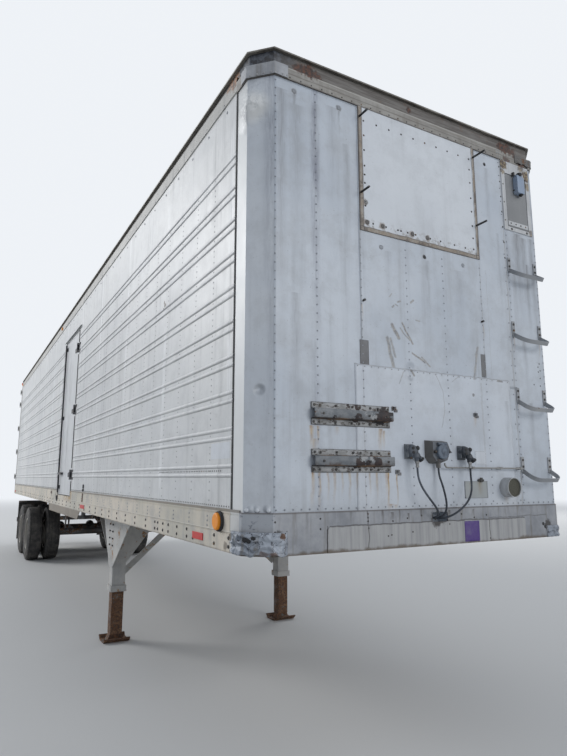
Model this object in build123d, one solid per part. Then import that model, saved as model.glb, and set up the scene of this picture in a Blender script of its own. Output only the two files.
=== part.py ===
"""Old insulated semi trailer, parked on its landing legs, with its doors shut.

Millimetres. +Z is up, the nose points to -Y, the curb side is -X and the road side is +X.
The pieces are drawn in body coordinates: Y counts rearwards from the nose's front plane and
Z counts up from the underside of the bottom rails. save() moves them so that the origin is on
the ground, under the middle of the trailer.
"""

import os
from math import pi, radians, sqrt, tan

from build123d import *

# Whole trailer
LENGTH = 13716.0  # nose plane to the rear face of the door frame
WIDTH = 2438.0  # over the rails
BODY_H = 2870.0  # rail underside to the roof's top
RAIL_Z = 1245.0  # rail underside above the ground
FIT = 0.3  # gap between a piece and its seat

# Body shell
CHAMFER = 120.0  # nose corners, along each side
POST_END = 264.0  # rear edge of the nose corner posts
SKIN_IN = 8.0  # the skins lie this far inside the rails
WALL_T = 64.0
NOSE_T = 100.0
ROOF_T = 100.0
ROOF_SKIN = 10.0
RAIL_H = 225.0  # bottom rail's height, and the floor's top
FLOOR_T = 117.0
FLANGE_T = 8.0  # bottom flange under the crossmembers' ends
GROOVE_ZS = (100.0, 200.0)  # grooves along the bottom rails
GROOVE_W = 8.0
GROOVE_D = 4.0

# Top rails, measured down from the roof
SIDE_LIP_DROP = 165.0
SIDE_LIP_H = 95.0
NOSE_LIP_DROP = 180.0
NOSE_LIP_H = 75.0
RECESS = 20.0

# Nose band with its pick-up plate, and the hole that the hoses go into
BAND_H = 215.0
BAND_END = 150.0  # where the nose band ends along the sides
PICKUP_W = 1550.0
PICKUP_H = 135.0
PICKUP_T = 5.0
PICKUP_R = 25.0
HOSE_HOLE_XS = (-30.0, 92.0)
HOSE_HOLE_ZS = (115.0, 190.0)
HOSE_HOLE_DEPTH = 76.0

# Beads of the side skins, in pairs
BEAD_FIRST_Z = 430.0
BEAD_TOP_DROP = 600.0  # top pair, down from the roof
BEAD_PAIRS = 10
BEAD_SPREAD = 50.0
BEAD_W = 26.0
BEAD_OUT = 8.0

# Side door, in the curb wall
DOOR_Y = 5380.0
DOOR_W = 1070.0
DOOR_Z = 160.0
DOOR_TOP_DROP = 500.0
DOOR_GAP = 10.0
DOOR_FLAT_AHEAD = 50.0  # plain skin without beads, ahead of the leaf and behind it
DOOR_FLAT_BEHIND = 170.0
DRIP_RISE = 45.0  # drip rail above the leaf
DRIP_OUT = 28.0
DRIP_T = 9.0
REINFORCE_AHEAD = 730.0  # rail reinforcement, ahead of and behind the door's hinge edge
REINFORCE_BEHIND = 1870.0
REINFORCE_H = 100.0
REINFORCE_SLOPES = (130.0, 50.0)

# Side door hardware
SIDE_HINGES = (0.122, 0.507, 0.887)  # heights, as shares of the leaf's
SIDE_HINGE_OUT = 14.0  # pin's centre outboard of the rails
SIDE_HINGE_AHEAD = 6.0  # pin's centre ahead of the leaf's front edge
SIDE_HINGE_R = 11.0
SIDE_PIN_R = 6.0
STRAP_L = 270.0
STRAP_ROOT_H = 84.0
STRAP_TIP_H = 52.0
STRAP_T = 8.0
BUTT_L = 90.0
BUTT_H = 28.0
SIDE_ROD_R = 12.0
SIDE_ROD_INSET = 95.0  # lock rod's centre from the leaf's rear edge
SIDE_ROD_OUT = 22.0  # rod's centre outboard of the leaf's face
SIDE_ROD_ENDS = 25.0  # rod ends inside the leaf's ends
SIDE_GUIDES = (0.045, 0.493, 0.959)
SIDE_HANDLE = 0.131
SIDE_HANDLE_L = 260.0

# Rear frame and doors
FRAME_D = 100.0
POST_W = 80.0
SILL_H = 225.0
HEADER_H = 170.0
LEAF_T = 70.0
LEAF_GAP = 8.0
MIDDLE_GAP = 14.0
HINGE_H = 70.0
REAR_HINGES = (0.08, 0.33, 0.57, 0.82, 0.95)  # heights, as shares of the doorway's
REAR_HINGE_OUT = 18.0  # pin's centre outboard of the frame's side
REAR_HINGE_BACK = 22.0  # pin's centre behind the frame's rear face
REAR_HINGE_R = 14.0
REAR_PIN_R = 8.0
REAR_BUTT_H = 30.0
REAR_STRAP_L = 190.0  # beyond the post
REAR_ROD_R = 14.0
REAR_ROD_OUT = 30.0
REAR_RODS = (0.34, 0.80)  # places across a leaf, as shares of its width from the hinge edge
ROD_GUIDES = (0.12, 0.375, 0.635, 0.88)
KEEPER_W = 68.0
KEEPER_H = 70.0
KEEPER_OFF = 20.0  # keeper's near end from the doorway
HANDLE_Z = 405.0
HANDLE_L = 330.0
HANDLE_H = 34.0
CATCH_XS = (250.0, 310.0)  # the handle's catch, from its rod

# Rear guard, bumpers, lamps and flaps
GUARD_X = 480.0
GUARD_DROP = 640.0
GUARD_END_IN = 99.0
GUARD_SECTION = 100.0
BUMPER_REACH = 75.0  # the dock bumpers, the furthest pieces behind the rear frame
BUMPER_W = 200.0
BUMPER_IN = 130.0  # from the frame's side
BUMPER_ZS = (10.0, 110.0)
TAIL_LAMP_INS = (459.0, 599.0)
TAIL_LAMP_Z = 60.0
TAIL_LAMP_R = 50.0
TAIL_LAMP_T = 28.0
SMALL_LAMP_R = 28.0
SMALL_LAMP_T = 22.0
SMALL_LAMP_PITCH = 200.0
FLAP_IN = 314.0  # flap's middle from the trailer's side
FLAP_W = 600.0
FLAP_T = 8.0
FLAP_LOW = 1000.0  # flap's lower edge below the rails
FLAP_BEHIND = 685.0  # flap behind the rear axle
FLAP_ARM = 40.0
FLAP_ARM_Z = -180.0

# Crossmembers and coupler
CROSS_PITCH = 305.0
CROSS_W = 60.0
CROSS_WEB = 6.0
COUPLER_END = 1500.0
KINGPIN_Y = 914.0
BOLSTER_PITCH = 300.0
KINGPIN_STEPS = ((36.5, 35.0), (25.4, 28.0), (35.7, 21.0))  # radius and height of collar, neck and flange

# Landing gear
LEG_IN = 249.0  # leg's centre from the trailer's side
LEG_Y = 3690.0
LEG_W = 135.0
LEG_WALL = 8.0
LEG_LOW = -760.0
LEG_COLLAR_H = 60.0
LEG_COLLAR_T = 12.0
FOOT_W = 260.0
FOOT_T = 12.0
FOOT_RISE = 40.0
ANKLE_W = 170.0
ANKLE_H = 59.0
SHANK_TOP = -400.0
GEAR_RAIL_H = 60.0
GEAR_RAIL_AHEAD = 740.0
GEAR_RAIL_BEHIND = 420.0
WING_LOW = -520.0
WING_T = 8.0
CROSS_WING = 330.0
BRACE_LOW = -600.0
BRACE_W = 60.0
BRACE_T = 8.0
BACK_BRACE = 900.0
CROSS_BRACE_X = 260.0
SHAFT_R = 16.0
SHAFT_Z = -170.0
GEARBOX = (70.0, 120.0, 90.0, 70.0)  # depth, length, and reach below and above the shaft
CRANK_R = 14.0
CRANK_OUT = 38.0
CRANK_L = 330.0
GRIP_R = 12.0
GRIP_L = 78.0

# Tandem: axles, subframe and springs
AXLE_AHEAD = {"front": 3196.0, "rear": 1951.0}  # ahead of the trailer's rear face
AXLE_R = 63.5
SPINDLE_R = 38.0
BEARING_GAP = 0.08
SUBFRAME_IN = 709.0
SUBFRAME_W = 70.0
SUBFRAME_H = 190.0
SUBFRAME_WEB = 10.0
SUBFRAME_AHEAD = 4076.0
SUBFRAME_BEHIND = 416.0
CROSS_TIE_H = 110.0
CROSS_TIE_W = 100.0
HANGER_TOP_W = 260.0
HANGER_LOW_W = 90.0
HANGER_PIN_R = 25.0
HANGER_LIP = 40.0
SPRING_LEAVES = 4
SPRING_LEAF_T = 13.0
SPRING_SEAT = 18.0
SPRING_CLAMP = 120.0
SPRING_CAP = 20.0
SPRING_RISE = 55.0
SPRING_STATIONS = (60.0, 190.0, 330.0, 470.0)  # where the shorter leaves end, from the axle
SPRING_TIP_GAP = 8.0  # the longest leaf ends this far short of its hanger's pin, over the pin
BRAKE_IN = 278.0  # brake shield's inner face from the hub's middle
SHIELD_T = 10.0
CAN_X = 330.0
CAN_R = 80.0
CAN_L = 150.0
CAN_RISE = 30.0
CAN_BEHIND = 60.0
CLAMP_R = 92.0
CLAMP_W = 15.0

# Wheels and tyres
TYRE_R = 520.0
TYRE_W = 275.0
TREAD_W = 216.0
TYRE_IN = 148.0  # outer tyre's middle from the trailer's side
DUAL_PITCH = 336.0
BEAD_R = 286.0
RIM_W = 236.0
RIM_FLANGE = 16.0
DISC_T = 12.0
HAND_HOLES = 5
HAND_HOLE_R = 24.0
HAND_CIRCLE_R = 205.0
STUDS = 10
STUD_CIRCLE = 285.75
STUD_R = 16.0
DRUM_R = 210.0
DRUM_WALL = 14.0

# Blanking panel on the nose
UNIT_X0 = -510.0
UNIT_X1 = 500.0
UNIT_H = 825.0
UNIT_STRIP = 26.0
UNIT_PLATE_T = 5.0
UNIT_STUD_R = 7.0
UNIT_STUD_IN = 13.0
UNIT_STUD_ZS = (245.0, 755.0)  # above the panel's lower edge
UNIT_STUD_LS = ((80.0, 80.0), (90.0, 110.0))  # reach of the lower and the upper one, left and right
NOSE_REACH = 110.0  # the longest stud, the furthest piece in front of the nose
STUB_Z = 1425.0
STUB_REACH = 14.0

# Corner panel with its box
PANEL_IN = 149.0  # from the trailer's side
PANEL_W = 295.0
PANEL_H = 540.0
PANEL_FRAME = 40.0
PANEL_HEAD = 120.0
LID_Y = 4.0
BOX_X = 125.0  # from the panel's left edge
BOX_W = 90.0
BOX_ZS = (60.0, 250.0)  # below the nose rail's lip
BOX_REACH = 75.0

# Nose steps
STEP_XS = (795.0, 1067.0)
STEP_LOW = 440.0
STEP_PANEL_GAP = 304.5  # the top step's foot from the corner panel above it
STEPS = 4
STEP_REACH = 90.0
STEP_DROP = 65.0
STEP_R = 62.0
STRIP_W = 28.0
STRIP_T = 6.0
STEP_FOOT_H = 90.0

# Fittings low on the nose
HAT_LOWS = (675.0, 420.0)
HAT_X0 = -868.0
HAT_X1 = -332.0
HAT_H = 125.0
HAT_REACH = 37.0
HAT_T = 5.0
HAT_LIP = 13.0
HAT_SLOPE = 12.0
VENT_X = 620.0
VENT_Z = 330.0
VENT_R = 62.5
VENT_REACH = 65.0
VENT_WALL = 4.0
VENT_MESH_IN = 9.0
GLADHAND_XS = (-185.0, 240.0)
COUPLING_Z = 545.0
PLATE_W = 90.0
PLATE_H = 96.0
NECK_R = 20.0
HEAD_R = 34.0
HEAD_YS = (-35.0, -82.0)
HOOK_R = 47.0
HOOK_T = 13.0
PORT_R = 13.0
PORT_Y = -58.0
SOCKET_X = 10.0
SOCKET_REACH = 55.0
SOCKET_TAPER = 0.82
SOCKET_LID_R = 44.0
SOCKET_LID_T = 23.0
GLAND_Y = -25.0
HOSE_TOP_Z = 450.0
CONDUIT_R = 5.0
CONDUIT_Z = 452.0
CONDUIT_START = 62.0
CONDUIT_END = 758.0
CONDUIT_BEND = 24.0
CONDUIT_CLIPS = (300.0, 550.0, 735.0)
CLIP_W = 16.0
CLIP_REACH = 32.0

# Lamps and reflectors
SIDE_LAMP_Y = 400.0
SIDE_LAMP_Z = 155.0
SIDE_LAMP_R = 47.0
SIDE_LAMP_T = 32.0
LAMP_ROUND = 9.0
RAIL_LAMP_R = 24.0
RAIL_LAMP_T = 18.0
RAIL_LAMP_MIDDLE = 142.0  # behind the trailer's middle
RAIL_LAMP_END = 156.0  # ahead of the rear face
REFLECTOR_T = 5.0
REFLECTOR_H = 40.0
FRONT_REFLECTOR = (650.0, 170.0, 30.0)  # front end, length and height above the rail's underside
DOOR_REFLECTOR = (1030.0, 250.0, 40.0)  # the first is ahead of the side door here
REAR_REFLECTOR = (366.0, 210.0, 40.0)  # and ahead of the rear face here

# Hoses and cable of the nose: across, rearwards from the nose plane, and up
HOSE_D = 12.0
HOSES = {
    "hose_service": [
        (-185, -58, 450), (-185, -58, 405), (-176, -70, 352), (-146, -80, 300), (-104, -82, 254),
        (-62, -74, 216), (-32, -54, 184), (-15, -20, 164), (-8, 28, 156), (-8, 76, 156),
    ],
    "receptacle_cable": [
        (10, -25, 450), (10, -25, 408), (16, -42, 360), (14, -62, 308), (20, -68, 258),
        (26, -62, 214), (28, -42, 180), (28, -8, 160), (28, 34, 153), (28, 76, 153),
    ],
    "hose_emergency": [
        (240, -58, 450), (240, -58, 402), (234, -69, 344), (212, -80, 292), (174, -86, 248),
        (132, -80, 212), (98, -62, 184), (76, -30, 164), (64, 4, 154), (60, 38, 150), (60, 76, 150),
    ],
}

# Worked out from the sizes above
HALF = WIDTH / 2
FACE = HALF - SKIN_IN  # outer face of the side skins
WALL_IN = SKIN_IN + WALL_T
INNER = HALF - WALL_IN  # inner face of the side walls
NOSE_IN = SKIN_IN + NOSE_T
FLAT_X = HALF - CHAMFER - SKIN_IN * (sqrt(2) - 1)  # where the nose's flat skin ends
ROOF_Z = BODY_H - ROOF_SKIN
WALL_TOP = ROOF_Z - ROOF_T
SIDE_LIP_Z = BODY_H - SIDE_LIP_DROP
NOSE_LIP_Z = BODY_H - NOSE_LIP_DROP
STEP_PITCH = (NOSE_LIP_Z - PANEL_H - STEP_PANEL_GAP - STEP_LOW) / (STEPS - 1)
BEAD_PITCH = (BODY_H - BEAD_TOP_DROP - BEAD_FIRST_Z) / (BEAD_PAIRS - 1)
FLOOR_Z = RAIL_H - FLOOR_T
REAR_Y = LENGTH - FRAME_D
DOOR_TOP = BODY_H - DOOR_TOP_DROP
DOOR_END = DOOR_Y + DOOR_W
HEADER_Z = BODY_H - HEADER_H
GROUND = -RAIL_Z
LEG_X = HALF - LEG_IN
AXLE_Z = GROUND + TYRE_R
AXLE_YS = {name: LENGTH - ahead for name, ahead in AXLE_AHEAD.items()}
OUTER_TYRE_X = HALF - TYRE_IN
HUB_X = OUTER_TYRE_X - DUAL_PITCH / 2
BRAKE_X = HUB_X - BRAKE_IN
SHIELD_R = DRUM_R - DRUM_WALL - 6
SUBFRAME_X = HALF - SUBFRAME_IN
SPRING_TIP_Z = AXLE_Z + AXLE_R + SPRING_SEAT + (SPRING_LEAVES - 1) * SPRING_LEAF_T + SPRING_RISE
HANGER_PIN_Z = SPRING_TIP_Z - sqrt((HANGER_PIN_R + FIT) ** 2 - SPRING_TIP_GAP**2)
HANGER_LOW = HANGER_PIN_Z - HANGER_LIP
FLAP_X = HALF - FLAP_IN
FLAP_Y = AXLE_YS["rear"] + FLAP_BEHIND
NOSE_Y = NOSE_REACH - (LENGTH + NOSE_REACH + BUMPER_REACH) / 2
PLACE = Location((0, NOSE_Y, RAIL_Z))
SIDES = {"curb": -1, "road": 1}


def save(name, *pieces):
    """Writes one node: its pieces' solids, moved from body coordinates to the trailer's frame."""
    solids = [solid for piece in pieces for solid in piece.solids()]
    export_step(Compound(solids).moved(PLACE), "parts/" + name + ".step")
    print(name, len(solids))


def block(x0, x1, y0, y1, z0, z1):
    """A box between two corners, given in either order."""
    size = (abs(x1 - x0), abs(y1 - y0), abs(z1 - z0))
    return Pos((x0 + x1) / 2, (y0 + y1) / 2, (z0 + z1) / 2) * Box(*size)


def along_x(outline, x0, x1):
    """An outline of (y, z) corners pushed from x0 to x1."""
    face = Face(Wire.make_polygon([(x0, y, z) for y, z in outline], close=True))
    return extrude(face, amount=x1 - x0, dir=(1, 0, 0))


def along_y(outline, y0, y1):
    """An outline of (x, z) corners pushed from y0 to y1."""
    face = Face(Wire.make_polygon([(x, y0, z) for x, z in outline], close=True))
    return extrude(face, amount=y1 - y0, dir=(0, 1, 0))


def along_z(outline, z0, z1):
    """An outline of (x, y) corners pushed from z0 to z1."""
    face = Face(Wire.make_polygon([(x, y, z0) for x, y in outline], close=True))
    return extrude(face, amount=z1 - z0, dir=(0, 0, 1))


def rod(start, end, radius):
    """A round bar between two points."""
    run = Vector(*end) - Vector(*start)
    return Solid.make_cylinder(radius, run.length, Plane(origin=start, z_dir=run.normalized()))


def bar(start, end, width, depth, side=(0, 1, 0)):
    """A flat bar between two points: width lies along the side direction."""
    run = Vector(*end) - Vector(*start)
    middle = (Vector(*start) + Vector(*end)) * 0.5
    plane = Plane(origin=middle, x_dir=side, z_dir=run.normalized())
    return plane * Box(width, depth, run.length)


def ring_of(outline):
    """A closed outline of (x, radius) corners turned about the X axis."""
    face = Face(Wire.make_polygon([(x, 0, r) for x, r in outline], close=True))
    return revolve(face, Axis.X, 360)


def fused(pieces):
    """One piece from a list of pieces that touch."""
    first, rest = pieces[0], pieces[1:]
    return first.fuse(*rest) if rest else first


def both_sides(piece):
    """A piece on one side of the trailer and its mirror image on the other."""
    return [piece, piece.mirror(Plane.YZ)]


def nose_outline(inset, end_y):
    """Plan of the nose from one side round to the other, the given distance inside the rails."""
    corner = CHAMFER + inset * (sqrt(2) - 1)
    side = HALF - inset
    front = HALF - corner
    return [(-side, end_y), (-side, corner), (-front, inset), (front, inset), (side, corner), (side, end_y)]


def nose_ring(outer, inner, end_y, z0, z1):
    """A band round the nose between two insets."""
    return along_z(nose_outline(outer, end_y) + nose_outline(inner, end_y)[::-1], z0, z1)


def nose_parts():
    """Front wall, corner posts, top rail and bottom band of the nose."""
    wall = block(-FLAT_X, FLAT_X, SKIN_IN, NOSE_IN, FLANGE_T, WALL_TOP)
    pocket = block(*HOSE_HOLE_XS, 0, HOSE_HOLE_DEPTH, *HOSE_HOLE_ZS)
    save("nose_wall", wall - pocket)

    outer = nose_outline(SKIN_IN, POST_END)[:3]
    inner = [(-FLAT_X, NOSE_IN), (-INNER, NOSE_IN), (-INNER, POST_END)]
    save("corner_posts", *both_sides(along_z(outer + inner, FLANGE_T, WALL_TOP)))

    lip_top = NOSE_LIP_Z + NOSE_LIP_H
    lip = nose_ring(0, SKIN_IN, POST_END, NOSE_LIP_Z, lip_top)
    heel = nose_ring(SKIN_IN, WALL_IN, POST_END, WALL_TOP, lip_top)
    web = nose_ring(RECESS, WALL_IN, POST_END, lip_top, ROOF_Z)
    save("nose_top_rail", fused([lip, heel, web]))

    band = nose_ring(0, SKIN_IN, BAND_END, 0, BAND_H)
    foot = nose_ring(SKIN_IN, WALL_IN, BAND_END, 0, FLANGE_T)
    plate = block(-PICKUP_W / 2, PICKUP_W / 2, -PICKUP_T, 0, 0, PICKUP_H)
    plate = fillet(plate.edges().filter_by(Axis.Y).group_by(Axis.Z)[-1], PICKUP_R)
    save("nose_band", fused([band, foot, plate]) - pocket)


def wall_point(point, side):
    """An (x, z) point of a wall's section, at the front end of the side walls."""
    return (side * point[0], POST_END, point[1])


def bead_wall(side):
    """Side wall with its beads, pushed along Y from a section with an arc for each bead."""
    half = BEAD_W / 2
    edges = []
    last = (FACE, RAIL_H)
    for pair in range(BEAD_PAIRS):
        for step in (-0.5, 0.5):
            middle = BEAD_FIRST_Z + pair * BEAD_PITCH + step * BEAD_SPREAD
            corners = ((FACE, middle - half), (FACE + BEAD_OUT, middle), (FACE, middle + half))
            start, top, end = [wall_point(corner, side) for corner in corners]
            edges.append(Edge.make_line(wall_point(last, side), start))
            edges.append(Edge.make_three_point_arc(start, top, end))
            last = corners[-1]
    for corner in ((FACE, WALL_TOP), (INNER, WALL_TOP), (INNER, RAIL_H), (FACE, RAIL_H)):
        edges.append(Edge.make_line(wall_point(last, side), wall_point(corner, side)))
        last = corner
    return extrude(Face(Wire(edges)), amount=REAR_Y - POST_END, dir=(0, 1, 0))


def door_hole(depth_in):
    """What the side door's opening takes out of the curb side."""
    y0, y1 = DOOR_Y - DOOR_GAP, DOOR_END + DOOR_GAP
    return block(-HALF - 1, -HALF + depth_in, y0, y1, DOOR_Z - DOOR_GAP, DOOR_TOP + DOOR_GAP)


def side_hinge_zs():
    """Middles of the side door's hinges."""
    return [DOOR_Z + share * (DOOR_TOP - DOOR_Z) for share in SIDE_HINGES]


def door_flats():
    """Where the curb wall has no beads: along the leaf's edges and under the hinge butts."""
    low, high = RAIL_H, DOOR_TOP + DOOR_GAP
    flats = [block(-HALF - 1, -FACE, DOOR_Y - DOOR_FLAT_AHEAD, DOOR_Y, low, high)]
    flats.append(block(-HALF - 1, -FACE, DOOR_END, DOOR_END + DOOR_FLAT_BEHIND, low, high))
    reach = HINGE_H / 2 + BUTT_H + BEAD_W / 2
    front = DOOR_Y - SIDE_HINGE_AHEAD - BUTT_L - DOOR_GAP
    for z in side_hinge_zs():
        flats.append(block(-HALF - 1, -FACE, front, DOOR_Y, z - reach, z + reach))
    return flats


def shell_parts():
    """Side walls, roof, rails and floor."""
    save("side_wall_curb", bead_wall(-1) - door_flats() - door_hole(WALL_IN + 1))
    save("side_wall_road", bead_wall(1))

    skin = along_z(nose_outline(0, LENGTH), ROOF_Z, BODY_H)
    save("roof", skin.fuse(along_z(nose_outline(WALL_IN, REAR_Y), WALL_TOP, ROOF_Z)))

    lip_top = SIDE_LIP_Z + SIDE_LIP_H
    rail = [(HALF, SIDE_LIP_Z), (HALF, lip_top), (HALF - RECESS, lip_top), (HALF - RECESS, ROOF_Z)]
    rail += [(INNER, ROOF_Z), (INNER, WALL_TOP), (FACE, WALL_TOP), (FACE, SIDE_LIP_Z)]
    save("top_rails", *both_sides(along_y(rail, POST_END, REAR_Y)))

    section = [(HALF, 0)]
    for groove_z in GROOVE_ZS:
        low, high = groove_z - GROOVE_W / 2, groove_z + GROOVE_W / 2
        section += [(HALF, low), (HALF - GROOVE_D, low), (HALF - GROOVE_D, high), (HALF, high)]
    section += [(HALF, RAIL_H), (FACE, RAIL_H), (FACE, FLANGE_T), (INNER, FLANGE_T), (INNER, 0)]
    road_rail = along_y(section, BAND_END, REAR_Y)
    curb_rail = road_rail.mirror(Plane.YZ) - door_hole(WALL_IN + DOOR_GAP)
    save("bottom_rails", curb_rail, road_rail)

    ahead, behind = DOOR_Y - REINFORCE_AHEAD, DOOR_Y + REINFORCE_BEHIND
    plate = [(ahead, 0), (behind, 0), (behind - REINFORCE_SLOPES[1], -REINFORCE_H)]
    plate += [(ahead + REINFORCE_SLOPES[0], -REINFORCE_H)]
    save("rail_reinforcement", along_x(plate, -HALF, -FACE))

    plan = [(INNER, NOSE_IN), (INNER, POST_END), (FACE, POST_END), (FACE, REAR_Y)]
    plan += [(-x, y) for x, y in plan[::-1]]
    save("floor", along_z(plan, FLOOR_Z, RAIL_H) - door_hole(WALL_IN + DOOR_GAP))


def i_beam(y, x0, x1):
    """An I section across the trailer, between the rails' flanges and the floor."""
    a, b, t = CROSS_W / 2, CROSS_WEB / 2, CROSS_WEB
    low, top = FLANGE_T, FLOOR_Z
    half = [(a, low), (a, low + t), (b, low + t), (b, top - t), (a, top - t), (a, top)]
    outline = [(y + dy, z) for dy, z in half] + [(y - dy, z) for dy, z in half[::-1]]
    return along_x(outline, x0, x1)


def underframe():
    """Crossmembers, the coupler plate with its bolsters, and the kingpin."""
    beams = []
    first = COUPLER_END + CROSS_PITCH / 2
    count = int((REAR_Y - CROSS_W - first) / CROSS_PITCH) + 1
    for index in range(count):
        beams.append(i_beam(first + index * CROSS_PITCH, -FACE, FACE))
    save("crossmembers", *beams)

    plate = along_z(nose_outline(WALL_IN, COUPLER_END), 0, FLANGE_T)
    hole_r = KINGPIN_STEPS[0][0] + FIT
    pieces = [plate - rod((0, KINGPIN_Y, -1), (0, KINGPIN_Y, FLANGE_T + 1), hole_r)]
    ends = (NOSE_IN + CROSS_W / 2, COUPLER_END - CROSS_W / 2)
    for y in (ends[0], KINGPIN_Y - BOLSTER_PITCH, KINGPIN_Y, KINGPIN_Y + BOLSTER_PITCH, ends[1]):
        pieces.append(i_beam(y, -INNER, INNER))
    save("coupler", *pieces)

    pin, z = [rod((0, KINGPIN_Y, 0), (0, KINGPIN_Y, FLANGE_T), KINGPIN_STEPS[0][0])], 0.0
    for radius, height in KINGPIN_STEPS:
        pin.append(rod((0, KINGPIN_Y, z), (0, KINGPIN_Y, z - height), radius))
        z -= height
    save("kingpin", fused(pin))


def landing_legs():
    """Legs with their collars, gear rails and wings."""
    half = LEG_W / 2
    bore = half - LEG_WALL
    x0, x1, y0, y1 = LEG_X - half, LEG_X + half, LEG_Y - half, LEG_Y + half
    under = FLANGE_T - GEAR_RAIL_H
    grow = LEG_COLLAR_T
    tube = block(x0, x1, y0, y1, LEG_LOW, under)
    collar = block(x0 - grow, x1 + grow, y0 - grow, y1 + grow, LEG_LOW, LEG_LOW + LEG_COLLAR_H)
    hole = block(LEG_X - bore, LEG_X + bore, LEG_Y - bore, LEG_Y + bore, LEG_LOW - 1, under - LEG_W / 2)
    rail = block(x0, x1, LEG_Y - GEAR_RAIL_AHEAD, LEG_Y + GEAR_RAIL_BEHIND, under, FLANGE_T)
    ahead, behind = LEG_Y - GEAR_RAIL_AHEAD + 40, LEG_Y + GEAR_RAIL_BEHIND - 40
    wing = [(ahead, FLANGE_T), (behind, FLANGE_T), (behind, under), (y1, WING_LOW), (y0, WING_LOW), (ahead, under)]
    side_wing = along_x(wing, x1, x1 + WING_T)
    gusset = [(x0, under), (x0 - CROSS_WING, under), (x0, WING_LOW + 40)]
    cross_wing = along_y(gusset, y0, y0 + WING_T)
    leg = fused([tube, collar]) - hole
    save("landing_legs", *both_sides(fused([leg, rail, side_wing, cross_wing])))


def landing_feet():
    """Inner legs that slide in the tubes, each on its shoe."""
    inner = LEG_W / 2 - LEG_WALL - FIT
    ankle_top = GROUND + FOOT_T + ANKLE_H
    shank = block(LEG_X - inner, LEG_X + inner, LEG_Y - inner, LEG_Y + inner, ankle_top - 1, SHANK_TOP)
    ankle = [(LEG_X - inner, ankle_top), (LEG_X + inner, ankle_top), (LEG_X + ANKLE_W / 2, GROUND + FOOT_T)]
    ankle += [(LEG_X - ANKLE_W / 2, GROUND + FOOT_T)]
    ankle = along_y(ankle, LEG_Y - 45, LEG_Y + 45)
    a, b, t, rise = FOOT_W / 2, FOOT_W / 2 - 45, FOOT_T, FOOT_RISE
    shoe = [(b, 0), (a, rise), (a - t, rise + 6), (b - 4, t)]
    shoe += [(-y, z) for y, z in shoe[::-1]]
    shoe = along_x([(LEG_Y + y, GROUND + z) for y, z in shoe], LEG_X - a, LEG_X + a)
    save("landing_feet", *both_sides(fused([shank, ankle])), *both_sides(shoe))


def landing_parts():
    """Landing gear: legs, feet, braces, and the drive with its crank."""
    landing_legs()
    landing_feet()
    y_face, x_face, x_out = LEG_Y + LEG_W / 2, LEG_X - LEG_W / 2, LEG_X + LEG_W / 2
    upper = FLANGE_T - BRACE_W / 2
    back = bar((LEG_X, y_face, BRACE_LOW), (LEG_X, LEG_Y + BACK_BRACE, upper), BRACE_W, BRACE_T, side=(1, 0, 0))
    cross_y = y_face - BRACE_T / 2
    cross = bar((x_face, cross_y, BRACE_LOW), (CROSS_BRACE_X, cross_y, upper), BRACE_T, BRACE_W)
    behind = block(0, HALF, y_face, LEG_Y + 2 * BACK_BRACE, GROUND, FLANGE_T)
    inside = block(0, x_face, LEG_Y - LEG_W, LEG_Y + LEG_W, GROUND, FLANGE_T)
    save("landing_braces", *both_sides(back & behind), *both_sides(cross & inside))

    depth, length, below, above = GEARBOX
    box_x = x_out + WING_T
    shaft = rod((-x_face, LEG_Y, SHAFT_Z), (x_face, LEG_Y, SHAFT_Z), SHAFT_R)
    gear = block(box_x, box_x + depth, LEG_Y - length / 2, LEG_Y + length / 2, SHAFT_Z - below, SHAFT_Z + above)
    gear = fillet(gear.edges().filter_by(Axis.X), length / 4)
    crank_x = box_x + depth + CRANK_OUT
    spindle = rod((box_x + depth, LEG_Y, SHAFT_Z), (crank_x + GRIP_R / 2, LEG_Y, SHAFT_Z), CRANK_R)
    arm = bar((crank_x, LEG_Y, SHAFT_Z + GRIP_R), (crank_x, LEG_Y, SHAFT_Z - CRANK_L), 2 * CRANK_R, CRANK_R * 0.8)
    grip_z = SHAFT_Z - CRANK_L + CRANK_R
    grip = rod((crank_x, LEG_Y, grip_z), (crank_x - GRIP_L, LEG_Y, grip_z), GRIP_R)
    save("landing_drive", shaft, fused([gear, spindle, arm, grip]))


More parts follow.
